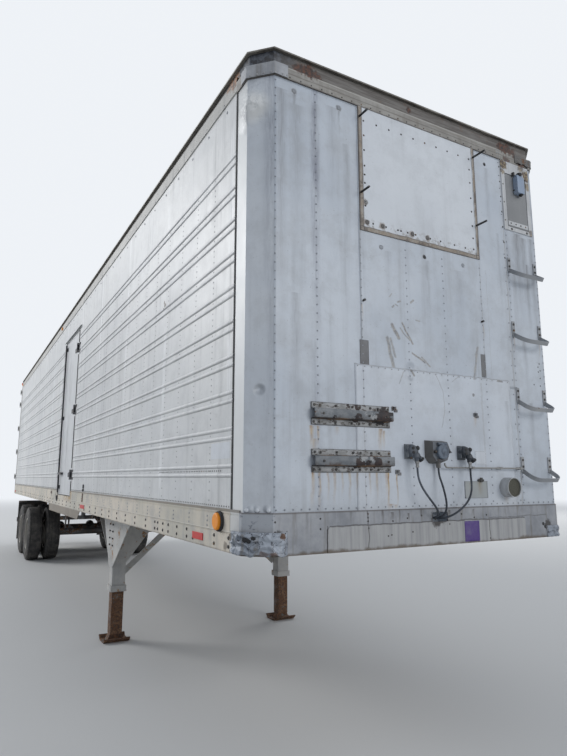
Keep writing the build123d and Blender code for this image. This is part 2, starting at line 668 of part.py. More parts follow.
def tandem_frame():
    """The subframe with its hangers, and the springs that seat on the hangers' pins."""
    x0, x1 = SUBFRAME_X - SUBFRAME_W / 2, SUBFRAME_X + SUBFRAME_W / 2
    web, top, low = SUBFRAME_WEB, FLANGE_T, FLANGE_T - SUBFRAME_H
    channel = [(x1, low), (x1, top), (x0, top), (x0, top - web), (x1 - web, top - web)]
    channel += [(x1 - web, low + web), (x0, low + web), (x0, low)]
    pieces = both_sides(along_y(channel, LENGTH - SUBFRAME_AHEAD, LENGTH - SUBFRAME_BEHIND))
    middle = (AXLE_YS["front"] + AXLE_YS["rear"]) / 2
    pitch = AXLE_YS["rear"] - AXLE_YS["front"]
    hangers = (middle - pitch, middle, middle + pitch)
    tie, wide, narrow = CROSS_TIE_W / 2, HANGER_TOP_W / 2, HANGER_LOW_W / 2
    for y in hangers:
        pieces.append(block(web - x1, x1 - web, y - tie, y + tie, low + web, low + web + CROSS_TIE_H))
        cheek = [(y - wide, low), (y + wide, low), (y + narrow, HANGER_LOW), (y - narrow, HANGER_LOW)]
        pieces += both_sides(along_x(cheek, x0, x0 + web))
        pieces += both_sides(along_x(cheek, x1 - web, x1))
    save("subframe", *pieces)

    springs = []
    clamp, edge = SPRING_CLAMP / 2, web / 2
    reach = pitch / 2 - SPRING_TIP_GAP
    stations = [*SPRING_STATIONS, reach]
    seat = AXLE_Z + AXLE_R + SPRING_SEAT
    for y in AXLE_YS.values():
        for leaf in range(SPRING_LEAVES):
            z = seat + (SPRING_LEAVES - 1 - leaf) * SPRING_LEAF_T
            half = []
            for station in stations[: len(stations) - leaf]:
                share = (station - stations[0]) / (reach - stations[0])
                half.append((station, z + SPRING_RISE * share**2))
            lower = [(y - dy, dz) for dy, dz in half[::-1]] + [(y + dy, dz) for dy, dz in half]
            upper = [(a, dz + SPRING_LEAF_T) for a, dz in lower[::-1]]
            springs.append(along_x(lower + upper, x0 + web + 2, x1 - web - 2))
        cap = seat + SPRING_LEAVES * SPRING_LEAF_T
        springs.append(block(x0 - edge, x1 + edge, y - clamp, y + clamp, seat - SPRING_SEAT, seat))
        springs.append(block(x0 - edge, x1 + edge, y - clamp, y + clamp, cap, cap + SPRING_CAP))
    for y in hangers:
        springs.append(rod((x0 + web, y, HANGER_PIN_Z), (x1 - web, y, HANGER_PIN_Z), HANGER_PIN_R))
    save("springs", *both_sides(fused(springs)))


def axle_parts():
    """Axles with their saddles and spindles, the brakes' dust shields, and the brake chambers."""
    x0, x1 = SUBFRAME_X - SUBFRAME_W / 2 - 5, SUBFRAME_X + SUBFRAME_W / 2 + 5
    clamp = SPRING_CLAMP / 2
    axles, cans = [], []
    for y in AXLE_YS.values():
        tube_end = BRAKE_X + SHIELD_T + 2
        spindle_end = HUB_X + 60
        beam = rod((-tube_end, y, AXLE_Z), (tube_end, y, AXLE_Z), AXLE_R)
        spindle = rod((-spindle_end, y, AXLE_Z), (spindle_end, y, AXLE_Z), SPINDLE_R)
        saddles = both_sides(block(x0, x1, y - clamp, y + clamp, AXLE_Z, AXLE_Z + AXLE_R))
        axles.append(fused([beam, spindle, *saddles]))
        bore = AXLE_R + FIT
        shield = [(0, bore), (0, SHIELD_R), (SHIELD_T, SHIELD_R), (SHIELD_T, bore)]
        axles += both_sides(Pos(BRAKE_X, y, AXLE_Z) * ring_of(shield))
        can_y, z = y + AXLE_R + CAN_BEHIND, AXLE_Z + CAN_RISE
        can = rod((CAN_X, can_y, z), (CAN_X, can_y + CAN_L, z), CAN_R)
        clamp_y = can_y + CAN_L / 2
        band = rod((CAN_X, clamp_y - CLAMP_W / 2, z), (CAN_X, clamp_y + CLAMP_W / 2, z), CLAMP_R)
        arm = block(CAN_X - 20, CAN_X + 20, y + AXLE_R - 12, can_y, z - 25, z + 25)
        tube = rod((0, y, AXLE_Z), (HUB_X, y, AXLE_Z), AXLE_R)
        cans += both_sides(fused([can, band, arm]) - tube)
    save("axles", *axles)
    save("brake_chambers", *cans)


def tyre_shape():
    """One tyre, turned from its section about the X axis."""
    half, tread, seat = TYRE_W / 2, TREAD_W / 2, BEAD_R + FIT
    bead = RIM_W / 2 - 13
    side = [(bead, seat), (bead + 2.5, BEAD_R + 18), (half - 15, BEAD_R + 26), (half, TYRE_R - 135)]
    side += [(half - 3, TYRE_R - 90), (tread, TYRE_R - 9), (tread * 0.6, TYRE_R)]
    return ring_of(side + [(-x, r) for x, r in side[::-1]])


def disc_shape():
    """One disc wheel with its rim and hand holes, for the outer place of a pair."""
    rim, pitch, well = RIM_W / 2, DUAL_PITCH / 2, BEAD_R - DISC_T
    barrel = [(-rim, BEAD_R + RIM_FLANGE), (-rim, well), (60 - rim, well), (95 - rim, well - 20)]
    barrel += [(rim - 60, well - 10), (rim, well), (rim, BEAD_R + RIM_FLANGE), (rim - 9, BEAD_R + RIM_FLANGE)]
    barrel += [(rim - 12, BEAD_R), (12 - rim, BEAD_R), (9 - rim, BEAD_R + RIM_FLANGE)]
    dish = [(-pitch, 80), (-pitch, 175), (-rim - 5, 215), (62 - rim, well), (78 - rim, well - 4)]
    dish += [(8 - rim, 208), (DISC_T - pitch, 165), (DISC_T - pitch, 80)]
    turn = 360 / HAND_HOLES
    holes = []
    for k in range(HAND_HOLES):
        holes.append(Rot(45 + turn * k, 0, 0) * Pos(-rim, 0, HAND_CIRCLE_R) * rod((-70, 0, 0), (70, 0, 0), HAND_HOLE_R))
    return fused([ring_of(barrel), ring_of(dish)]) - holes


def hub_shape():
    """Hub with its drum, its bore round the spindle, its cap and its wheel studs."""
    end = BRAKE_X + 6 - HUB_X
    bore = SPINDLE_R + BEARING_GAP
    hub = [(end, DRUM_R), (-12, DRUM_R), (-12, 120), (52, 100), (80, 92), (105, 78), (112, 60), (112, 0)]
    hub += [(60.5, 0), (60.5, bore), (end + 45, bore), (end + 45, 100), (-24, 110)]
    hub += [(-24, DRUM_R - DRUM_WALL), (end, DRUM_R - DRUM_WALL)]
    turn = 360 / STUDS
    studs = []
    for k in range(STUDS):
        studs.append(Rot(turn * k, 0, 0) * Pos(0, 0, STUD_CIRCLE / 2) * rod((-30, 0, 0), (48, 0, 0), STUD_R))
    return ring_of(hub), studs


def wheel_parts():
    """Four dual wheels, each a pair of tyres and one hub with its rims and drum."""
    tyre, disc = tyre_shape(), disc_shape()
    hub, studs = hub_shape()
    out = DUAL_PITCH / 2
    wheel = fused([hub, Pos(out, 0, 0) * disc, Pos(-out, 0, 0) * disc.mirror(Plane.YZ), *studs])
    for axle, y in AXLE_YS.items():
        for name, side in SIDES.items():
            centre = Pos(side * HUB_X, y, AXLE_Z)
            placed = wheel if side > 0 else wheel.mirror(Plane.YZ)
            save("wheel_" + axle + "_" + name, centre * placed)
            save("tyres_" + axle + "_" + name, centre * Pos(out, 0, 0) * tyre, centre * Pos(-out, 0, 0) * tyre)


def rear_hinge_zs():
    """Middles of the rear doors' hinges."""
    return [SILL_H + share * (HEADER_Z - SILL_H) for share in REAR_HINGES]


def rear_butts():
    """Knuckles, webs and pins that the rear frame carries on its road side."""
    axis_x, axis_y, r = HALF + REAR_HINGE_OUT, LENGTH + REAR_HINGE_BACK, REAR_HINGE_R
    plan = [(HALF, LENGTH - 60), (axis_x + r, axis_y), (axis_x, axis_y), (HALF, axis_y), (HALF - 24, LENGTH)]
    half = HINGE_H / 2 + 1
    butts = []
    for z in rear_hinge_zs():
        for z0, z1 in ((z - half - REAR_BUTT_H, z - half), (z + half, z + half + REAR_BUTT_H)):
            web = along_z(plan, z0, z1) - block(0, HALF, 0, LENGTH, 0, ROOF_Z)
            butts.append(web.fuse(rod((axis_x, axis_y, z0), (axis_x, axis_y, z1), r)))
        butts.append(rod((axis_x, axis_y, z - half), (axis_x, axis_y, z + half), REAR_PIN_R - BEARING_GAP))
    return butts


def leaf_span():
    """Outer edge and width of a rear leaf."""
    outer = HALF - POST_W - LEAF_GAP
    return outer, outer - MIDDLE_GAP / 2


def rod_xs():
    """Places of a rear leaf's lock rods."""
    outer, width = leaf_span()
    return [outer - share * width for share in REAR_RODS]


def rear_frame_part():
    """Rear portal with its hinge butts and the keepers of the lock rods."""
    opening = HALF - POST_W
    portal = block(-HALF, HALF, REAR_Y, LENGTH, 0, ROOF_Z)
    portal = portal - block(-opening, opening, REAR_Y - 1, LENGTH + 1, SILL_H, HEADER_Z)
    pieces = [portal]
    for butt in rear_butts():
        pieces += both_sides(butt)
    half, wall = KEEPER_W / 2, STRAP_T
    low, high = SILL_H - KEEPER_OFF, HEADER_Z + KEEPER_OFF
    for x in rod_xs():
        for z0, z1 in ((low - KEEPER_H, low), (high, high + KEEPER_H)):
            plan = [(half, LENGTH), (half, LENGTH + 44), (half - wall, LENGTH + 44), (half - wall, LENGTH + wall)]
            plan += [(-dx, y) for dx, y in plan[::-1]]
            pieces += both_sides(along_z([(x + dx, y) for dx, y in plan], z0, z1))
    save("rear_frame", fused(pieces))


def rear_hardware():
    """What a rear leaf carries on the road side: hinge straps, lock rods, guides and a handle."""
    axis_x, axis_y = HALF + REAR_HINGE_OUT, LENGTH + REAR_HINGE_BACK
    half = HINGE_H / 2
    pieces = []
    for z in rear_hinge_zs():
        knuckle = rod((axis_x, axis_y, z - half), (axis_x, axis_y, z + half), REAR_HINGE_R)
        inner_x = HALF - POST_W - REAR_STRAP_L
        strap = block(inner_x, axis_x, LENGTH + FIT, LENGTH + STRAP_T, z - half, z + half)
        bore = rod((axis_x, axis_y, z - HINGE_H), (axis_x, axis_y, z + HINGE_H), REAR_PIN_R)
        pieces.append(knuckle.fuse(strap) - bore)
    y = LENGTH + REAR_ROD_OUT
    ends = (SILL_H - KEEPER_OFF - KEEPER_H / 2, HEADER_Z + KEEPER_OFF + KEEPER_H / 2)
    for x in rod_xs():
        pieces.append(rod((x, y, ends[0] - 15), (x, y, ends[1] + 15), REAR_ROD_R))
        for z in ends:
            pieces.append(block(x - 20, x + 20, y - 14, y + 14, z - 22, z + 22))
        for share in ROD_GUIDES:
            z = SILL_H + share * (HEADER_Z - SILL_H)
            pieces.append(block(x - 45, x + 45, LENGTH, LENGTH + STRAP_T, z - 30, z + 30))
            pieces.append(block(x - 20, x + 20, LENGTH + STRAP_T, y + 6, z - 18, z + 18))
        grip_y, flat = y + 18, HANDLE_H / 2
        pieces.append(block(x - 12, x + HANDLE_L, grip_y, grip_y + 10, HANDLE_Z - flat, HANDLE_Z + flat))
        pieces.append(rod((x, y, HANDLE_Z), (x, grip_y + 10, HANDLE_Z), 11))
        catch_z = HANDLE_Z - flat
        pieces.append(block(x + CATCH_XS[0], x + CATCH_XS[1], LENGTH, grip_y, catch_z - 8, catch_z + 4))
    return fused(pieces)


def rear_parts():
    """Door frame, doors with their hardware, guard, bumpers, lamps and flaps."""
    rear_frame_part()
    outer, _ = leaf_span()
    leaf = block(MIDDLE_GAP / 2, outer, LENGTH - LEAF_T, LENGTH, SILL_H + LEAF_GAP, HEADER_Z - LEAF_GAP)
    hardware = rear_hardware()
    save("rear_door_road", leaf)
    save("rear_hardware_road", hardware)
    save("rear_door_curb", leaf.mirror(Plane.YZ))
    save("rear_hardware_curb", hardware.mirror(Plane.YZ))

    half = GUARD_SECTION / 2
    y0, y1 = LENGTH - 110, LENGTH - 30
    stands = both_sides(block(GUARD_X - half, GUARD_X + half, y0, y1, half - GUARD_DROP, 0))
    reach = HALF - GUARD_END_IN
    cross = block(-reach, reach, y0, y1 + 10, -GUARD_DROP - half, -GUARD_DROP + half)
    save("rear_guard", fused([cross, *stands]))

    x1 = HALF - BUMPER_IN
    bumper = block(x1 - BUMPER_W, x1, LENGTH, LENGTH + BUMPER_REACH, *BUMPER_ZS)
    bumper = fillet(bumper.edges().filter_by(Axis.X).group_by(Axis.Y)[-1], 20)
    save("dock_bumpers", *both_sides(bumper))

    lamps = []
    for inset in TAIL_LAMP_INS:
        lamps += both_sides(lamp((HALF - inset, LENGTH, TAIL_LAMP_Z), (0, 1, 0), TAIL_LAMP_R, TAIL_LAMP_T))
    high = HEADER_Z + HEADER_H * 0.7
    for x in (-SMALL_LAMP_PITCH, 0, SMALL_LAMP_PITCH):
        lamps.append(lamp((x, LENGTH, high), (0, 1, 0), SMALL_LAMP_R, SMALL_LAMP_T))
    lamps += both_sides(lamp((HALF, LENGTH - 60, high - 30), (1, 0, 0), SMALL_LAMP_R, SMALL_LAMP_T))
    save("tail_lamps", *lamps)

    flap = block(FLAP_X - FLAP_W / 2, FLAP_X + FLAP_W / 2, FLAP_Y, FLAP_Y + FLAP_T, -FLAP_LOW, FLAP_ARM_Z + 30)
    save("mud_flaps", *both_sides(flap))
    arm_x = SUBFRAME_X + SUBFRAME_W / 2
    arm = block(arm_x, FLAP_X + FLAP_W / 2, FLAP_Y - FLAP_ARM, FLAP_Y, FLAP_ARM_Z, FLAP_ARM_Z + FLAP_ARM)
    save("flap_brackets", *both_sides(arm))


def lamp(base, out, radius, depth):
    """A round lamp standing on its base point, with its rim rounded over."""
    start = Vector(*base)
    end = start + Vector(*out) * depth
    body = rod(start, end, radius)
    rim = body.edges().sort_by_distance(end)[0]
    return fillet(rim, min(LAMP_ROUND, depth * 0.4))


def side_hinge(z):
    """One hinge of the side door: the leaf's strap with its knuckle, and the wall's butts with the pin."""
    axis_x, axis_y = -HALF - SIDE_HINGE_OUT, DOOR_Y - SIDE_HINGE_AHEAD
    face, r = -FACE, SIDE_HINGE_R
    low, high = z - HINGE_H / 2, z + HINGE_H / 2
    root, tip = STRAP_ROOT_H / 2, STRAP_TIP_H / 2
    start, end = axis_y + r + 1, axis_y + STRAP_L
    strap = along_x([(start, z - root), (end, z - tip), (end, z + tip), (start, z + root)], face - STRAP_T, face)
    link = [(axis_x, axis_y), (axis_x + 8, axis_y), (face, axis_y + 20), (face, axis_y + 60)]
    link += [(face - STRAP_T, axis_y + 60), (axis_x - 9, axis_y + 6)]
    knuckle = rod((axis_x, axis_y, low), (axis_x, axis_y, high), r)
    bore = rod((axis_x, axis_y, low - 5), (axis_x, axis_y, high + 5), SIDE_PIN_R)
    leaf_side = fused([knuckle, strap, along_z(link, low, high)]) - bore

    butts = [rod((axis_x, axis_y, low - 1), (axis_x, axis_y, high + 1), SIDE_PIN_R - BEARING_GAP)]
    for z0, z1 in ((low - 1 - BUTT_H, low - 1), (high + 1, high + 1 + BUTT_H)):
        base = block(face - STRAP_T, face, axis_y - BUTT_L, axis_y - 8, z0, z1)
        web = [(axis_x - 9, axis_y - 6), (axis_x, axis_y), (axis_x + 8, axis_y), (face, axis_y - 10)]
        web += [(face, axis_y - 50)]
        butts += [rod((axis_x, axis_y, z0), (axis_x, axis_y, z1), r), base, along_z(web, z0, z1)]
    return leaf_side, fused(butts)


def side_door_parts():
    """Door leaf, its hardware, the hinge butts on the wall, and the drip rail."""
    leaf = block(-FACE, WALL_T - FACE, DOOR_Y, DOOR_END, DOOR_Z, DOOR_TOP)
    save("side_door", leaf)

    hinges = [side_hinge(z) for z in side_hinge_zs()]
    height = DOOR_TOP - DOOR_Z
    rod_x, rod_y = -FACE - SIDE_ROD_OUT, DOOR_END - SIDE_ROD_INSET
    ends = (DOOR_Z + SIDE_ROD_ENDS, DOOR_TOP - SIDE_ROD_ENDS)
    bolt = [rod((rod_x, rod_y, ends[0]), (rod_x, rod_y, ends[1]), SIDE_ROD_R)]
    for share in SIDE_GUIDES:
        z = DOOR_Z + share * height
        bolt.append(block(-FACE - 30, -FACE, rod_y - 18, rod_y + 18, z - 20, z + 20))
        bolt.append(block(-FACE - STRAP_T, -FACE, rod_y - 45, rod_y + 45, z - 25, z + 25))
    z0 = DOOR_Z + SIDE_HANDLE * height - 17
    bolt.append(block(rod_x - 12, rod_x - 2, rod_y - SIDE_HANDLE_L, rod_y + 12, z0, z0 + 34))
    bolt.append(block(-FACE - 14, -FACE, rod_y - SIDE_HANDLE_L + 15, rod_y - SIDE_HANDLE_L + 55, z0, z0 + 34))
    save("side_door_hardware", *[leaf_side for leaf_side, _ in hinges], fused(bolt))

    z = DOOR_TOP + DRIP_RISE
    drip = [(-FACE, z), (-FACE - DRIP_OUT, z - 20), (-FACE - DRIP_OUT, z + DRIP_T - 20), (-FACE, z + DRIP_T + 5)]
    rail = along_y(drip, DOOR_Y - 110, DOOR_END + 100)
    save("side_door_frame", rail, *[butts for _, butts in hinges])


def blank_panel():
    """Blanking panel over the old unit's opening: plate with sealed strips, and the studs left in it."""
    low = NOSE_LIP_Z - UNIT_H
    strip = UNIT_STRIP
    plate = block(UNIT_X0, UNIT_X1, SKIN_IN - UNIT_PLATE_T, SKIN_IN, low, NOSE_LIP_Z)
    strips = [block(UNIT_X0, UNIT_X0 + strip, 0, SKIN_IN, low, NOSE_LIP_Z)]
    strips.append(block(UNIT_X1 - strip, UNIT_X1, 0, SKIN_IN, low, NOSE_LIP_Z))
    strips.append(block(UNIT_X0, UNIT_X1, 0, SKIN_IN, low, low + strip))
    studs = []
    for x, reaches in zip((UNIT_X0 + UNIT_STUD_IN, UNIT_X1 - UNIT_STUD_IN), UNIT_STUD_LS):
        for rise, reach in zip(UNIT_STUD_ZS, reaches):
            studs.append(rod((x, 0, low + rise), (x, -reach, low + rise), UNIT_STUD_R))
        studs.append(rod((x, SKIN_IN, STUB_Z), (x, -STUB_REACH, STUB_Z), UNIT_STUD_R))
    save("unit_blank", fused([plate, *strips]), *studs)


def corner_panel():
    """Access panel in the nose's road corner, with the box on it."""
    x1 = HALF - PANEL_IN
    x0 = x1 - PANEL_W
    low, edge = NOSE_LIP_Z - PANEL_H, PANEL_FRAME
    lid = (x0 + edge, x1 - edge + 5, low + edge, NOSE_LIP_Z - PANEL_HEAD)
    frame = block(x0, x1, 0, SKIN_IN, low, NOSE_LIP_Z) - block(lid[0], lid[1], -1, LID_Y, lid[2], lid[3])
    box_x, low_z, high_z = x0 + BOX_X, NOSE_LIP_Z - BOX_ZS[1], NOSE_LIP_Z - BOX_ZS[0]
    box = block(box_x, box_x + BOX_W, -BOX_REACH, 0, low_z, high_z)
    box = fillet(box.edges().filter_by(Axis.Z).group_by(Axis.Y)[0], 10)
    heel = block(box_x, box_x + BOX_W, 0, LID_Y, low_z, lid[3])
    save("corner_panel", frame, box.fuse(heel))


def nose_steps():
    """Steps: each a flat bar bent to a loop, with its ends bolted to the nose."""
    for_save = []
    x0, x1 = STEP_XS
    half = STRIP_W / 2
    for index in range(STEPS):
        z = STEP_LOW + index * STEP_PITCH
        points = [(x0, SKIN_IN, z), (x0, -STEP_REACH, z - STEP_DROP)]
        points += [(x1, y, height) for _, y, height in points[::-1]]
        path = FilletPolyline(*points, radius=STEP_R)
        run = Vector(*points[1]) - Vector(*points[0])
        start = Plane(origin=points[0], x_dir=(1, 0, 0), z_dir=run.normalized())
        loop = sweep(start * Rectangle(STRIP_T, STRIP_W), path=path)
        loop = loop - block(x0 - 50, x1 + 50, SKIN_IN, SKIN_IN + 50, z - 100, z + 100)
        feet = [block(x - half, x + half, 0, SKIN_IN, z - half, z + STEP_FOOT_H) for x in (x0, x1)]
        for_save.append(fused([loop, *feet]))
    save("nose_steps", *for_save)


def couplings():
    """Gladhands, and the electrical socket with its lid and gland."""
    hands = []
    z = COUPLING_Z
    low = z - 53
    for x in GLADHAND_XS:
        plate = block(x - PLATE_W / 2, x + PLATE_W / 2, 0, SKIN_IN, low, low + PLATE_H)
        neck = rod((x, 0, z), (x, HEAD_YS[0], z), NECK_R)
        head = rod((x, HEAD_YS[0], z), (x, HEAD_YS[1], z), HEAD_R)
        port = rod((x, PORT_Y, z), (x, PORT_Y, HOSE_TOP_Z), PORT_R)
        ring = rod((x, PORT_Y - 8, z), (x, PORT_Y + 10, z), HOOK_R) - rod((x, 0, z), (x, -100, z), HEAD_R - 1)
        hook = ring & block(x, x + 2 * HOOK_R, PORT_Y - 9, PORT_Y + 11, z - HOOK_R, z + 14)
        tongue = block(x + HEAD_R, x + HEAD_R + 38, PORT_Y - 8, PORT_Y + 10, z - 40, z - 40 + HOOK_T)
        hands.append(fused([plate, neck, head, port, hook, tongue]))
    save("gladhands", *hands)

    x = SOCKET_X
    outline = [(-80, 70), (62, 70), (90, 10), (58, -62), (35, -70), (-50, -70), (-80, -35)]
    back = Face(Wire.make_polygon([(x + dx, SKIN_IN, z + dz) for dx, dz in outline], close=True))
    share = SOCKET_TAPER
    front = [(x + dx * share, -SOCKET_REACH, z + 2 + dz * share) for dx, dz in outline]
    body = loft([back, Face(Wire.make_polygon(front, close=True))])
    lid = rod((x, -SOCKET_REACH, z), (x, -SOCKET_REACH - SOCKET_LID_T, z), SOCKET_LID_R)
    lid = fillet(lid.edges().sort_by(Axis.Y)[0], 6)
    hinge = rod((x - 34, -SOCKET_REACH - 8, z + 46), (x + 34, -SOCKET_REACH - 8, z + 46), 8)
    gland = rod((x, GLAND_Y, z - 50), (x, GLAND_Y, HOSE_TOP_Z), PORT_R)
    save("receptacle", fused([body, lid, hinge, gland]))


def conduit_part():
    """Conduit from the socket along the nose to the steps, with its clips."""
    points = [(CONDUIT_START, GLAND_Y, COUPLING_Z - 66), (CONDUIT_START, GLAND_Y, CONDUIT_Z)]
    points.append((CONDUIT_END, GLAND_Y, CONDUIT_Z))
    path = FilletPolyline(*points, radius=CONDUIT_BEND)
    pipe = [sweep(Plane(origin=points[0], z_dir=(0, 0, -1)) * Circle(CONDUIT_R), path=path)]
    half = CLIP_W / 2
    for x in CONDUIT_CLIPS:
        pipe.append(block(x - half, x + half, -CLIP_REACH, SKIN_IN, CONDUIT_Z - half, CONDUIT_Z + half))
    save("conduit", fused(pipe))


def nose_fittings():
    """Everything bolted to the front of the nose."""
    blank_panel()
    corner_panel()
    nose_steps()
    couplings()
    conduit_part()

    hats = []
    for low in HAT_LOWS:
        lip, slope, t = HAT_LIP, HAT_SLOPE, HAT_T
        half = [(SKIN_IN, 0), (SKIN_IN - t, 0), (SKIN_IN - t, lip), (-HAT_REACH, lip + slope)]
        back = [(SKIN_IN, lip + t), (t - HAT_REACH, lip + slope + t)]
        outline = half + [(y, HAT_H - z) for y, z in half[::-1]]
        outline += [(y, HAT_H - z) for y, z in back] + back[::-1]
        hats.append(along_x([(y, low + z) for y, z in outline], HAT_X0, HAT_X1))
    save("hat_brackets", *hats)

    tube = rod((VENT_X, SKIN_IN, VENT_Z), (VENT_X, -VENT_REACH, VENT_Z), VENT_R)
    mouth = rod((VENT_X, VENT_MESH_IN - VENT_REACH, VENT_Z), (VENT_X, -VENT_REACH - 1, VENT_Z), VENT_R - VENT_WALL)
    save("vent_tube", tube - mouth)


def lamps_and_reflectors():
    """Marker lamps and reflectors along both sides."""
    lamps = both_sides(lamp((HALF, SIDE_LAMP_Y, SIDE_LAMP_Z), (1, 0, 0), SIDE_LAMP_R, SIDE_LAMP_T))
    z = SIDE_LIP_Z + SIDE_LIP_H / 2
    for y in (LENGTH / 2 + RAIL_LAMP_MIDDLE, LENGTH - RAIL_LAMP_END):
        lamps += both_sides(lamp((HALF, y, z), (1, 0, 0), RAIL_LAMP_R, RAIL_LAMP_T))
    save("marker_lamps", *lamps)
    marks = []
    starts = (FRONT_REFLECTOR[0], DOOR_Y - DOOR_REFLECTOR[0], LENGTH - REAR_REFLECTOR[0])
    for start, (_, length, low) in zip(starts, (FRONT_REFLECTOR, DOOR_REFLECTOR, REAR_REFLECTOR)):
        marks += both_sides(block(HALF, HALF + REFLECTOR_T, start, start + length, low, low + REFLECTOR_H))
    save("reflectors", *marks)


def hose_parts():
    """Hoses as straight runs joined by the largest tangent arcs that fit."""
    for name, points in HOSES.items():
        vectors = [Vector(*point) for point in points]
        runs = [b - a for a, b in zip(vectors, vectors[1:])]
        radii = []
        for before, after in zip(runs, runs[1:]):
            turn = radians(before.get_angle(after))
            radii.append(0.45 * min(before.length, after.length) / tan(turn / 2))
        path = FilletPolyline(*points, radius=radii)
        start = Plane(origin=points[0], z_dir=runs[0].normalized())
        tube = sweep(start * Circle(HOSE_D / 2), path=path)
        section = pi * (HOSE_D / 2) ** 2
        print(name, "radii", [round(r) for r in radii], "length", round(path.length),
              "volume over section times length", round(tube.volume / section / path.length, 4))
        save(name, tube)


def main():
    """Writes every node."""
    os.makedirs("parts", exist_ok=True)
    nose_parts()
    shell_parts()
    underframe()
    landing_parts()
    tandem_frame()
    axle_parts()
    wheel_parts()
    rear_parts()
    side_door_parts()
    nose_fittings()
    lamps_and_reflectors()
    hose_parts()


main()
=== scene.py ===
"""Looks of the old insulated semi trailer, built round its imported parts. Metres.

Body coordinates count Y rearwards from the nose's front plane and Z up from the underside of the
bottom rails; at() turns them into the frame's coordinates.
"""

import math

import bpy
import numpy as np
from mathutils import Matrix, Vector, noise


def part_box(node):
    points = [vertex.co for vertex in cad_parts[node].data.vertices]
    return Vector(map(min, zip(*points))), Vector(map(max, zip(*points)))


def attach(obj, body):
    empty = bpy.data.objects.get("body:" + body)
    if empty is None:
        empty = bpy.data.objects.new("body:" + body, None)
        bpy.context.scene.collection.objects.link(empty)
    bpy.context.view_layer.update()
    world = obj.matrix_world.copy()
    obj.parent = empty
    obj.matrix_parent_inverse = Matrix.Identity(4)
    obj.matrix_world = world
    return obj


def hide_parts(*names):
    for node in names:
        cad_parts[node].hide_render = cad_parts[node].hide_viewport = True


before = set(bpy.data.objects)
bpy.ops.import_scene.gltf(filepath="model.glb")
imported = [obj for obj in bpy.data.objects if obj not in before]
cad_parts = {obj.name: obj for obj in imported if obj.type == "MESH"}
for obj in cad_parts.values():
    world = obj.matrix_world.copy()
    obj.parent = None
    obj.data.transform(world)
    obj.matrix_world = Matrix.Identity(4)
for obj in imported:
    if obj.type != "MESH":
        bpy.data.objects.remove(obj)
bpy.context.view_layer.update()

# Places taken from the frame
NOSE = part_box("roof")[0].y
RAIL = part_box("bottom_rails")[0].z
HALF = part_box("bottom_rails")[1].x
BAND_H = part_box("nose_band")[1].z - RAIL
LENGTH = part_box("roof")[1].y - NOSE
SKIN = 0.008
NOSE_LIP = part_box("unit_blank")[1].z - RAIL
PANEL_LOW = 1.865
POST_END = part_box("corner_posts")[1].y - NOSE
FLAT_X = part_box("nose_wall")[1].x
CHAMFER = HALF - FLAT_X - SKIN * (math.sqrt(2) - 1)
BODY = "trailer"
SIDES = ((-1, "curb"), (1, "road"))
FORWARD = (0, -1, 0)

# Beads of the side skins
BEAD_FIRST, BEAD_PITCH, BEAD_PAIRS, BEAD_SPREAD, BEAD_HALF = 0.430, 0.2044, 10, 0.050, 0.013
# Sheet joints along the sides
JOINT_FIRST, JOINT_PITCH = 1.55, 1.22
# Hat sections on the nose: the lower one's foot, the step to the upper one, height and flange
HAT_LOW, HAT_RISE, HAT_H, HAT_FLANGE = 0.420, 0.255, 0.125, 0.033
# The ledge along the bottom rails
RAIL_LEDGE = 0.104
# Middle of the vent tube: across, up, and its mesh's radius
VENT_X, VENT_Z, MESH_R = 0.620, 0.330, 0.058
# The nose's sheet thickness, and the overlay over its lower part: from, to and top
SHEET = 0.0012
OVERLAY_LEFT, OVERLAY_RIGHT, OVERLAY_TOP = -0.57, 0.72, 1.04


def at(x, y, z):
    """A point of the body's coordinates in the frame's."""
    return (x, NOSE + y, RAIL + z)


def body_box(node):
    """A node's lowest and highest corner in the body's coordinates."""
    return tuple(corner - Vector((0, NOSE, RAIL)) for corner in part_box(node))


DOOR_LOW, DOOR_HIGH = body_box("side_door")
LEAF_LOW, LEAF_HIGH = body_box("rear_door_road")
LID_LOW, LID_HIGH = body_box("corner_panel")


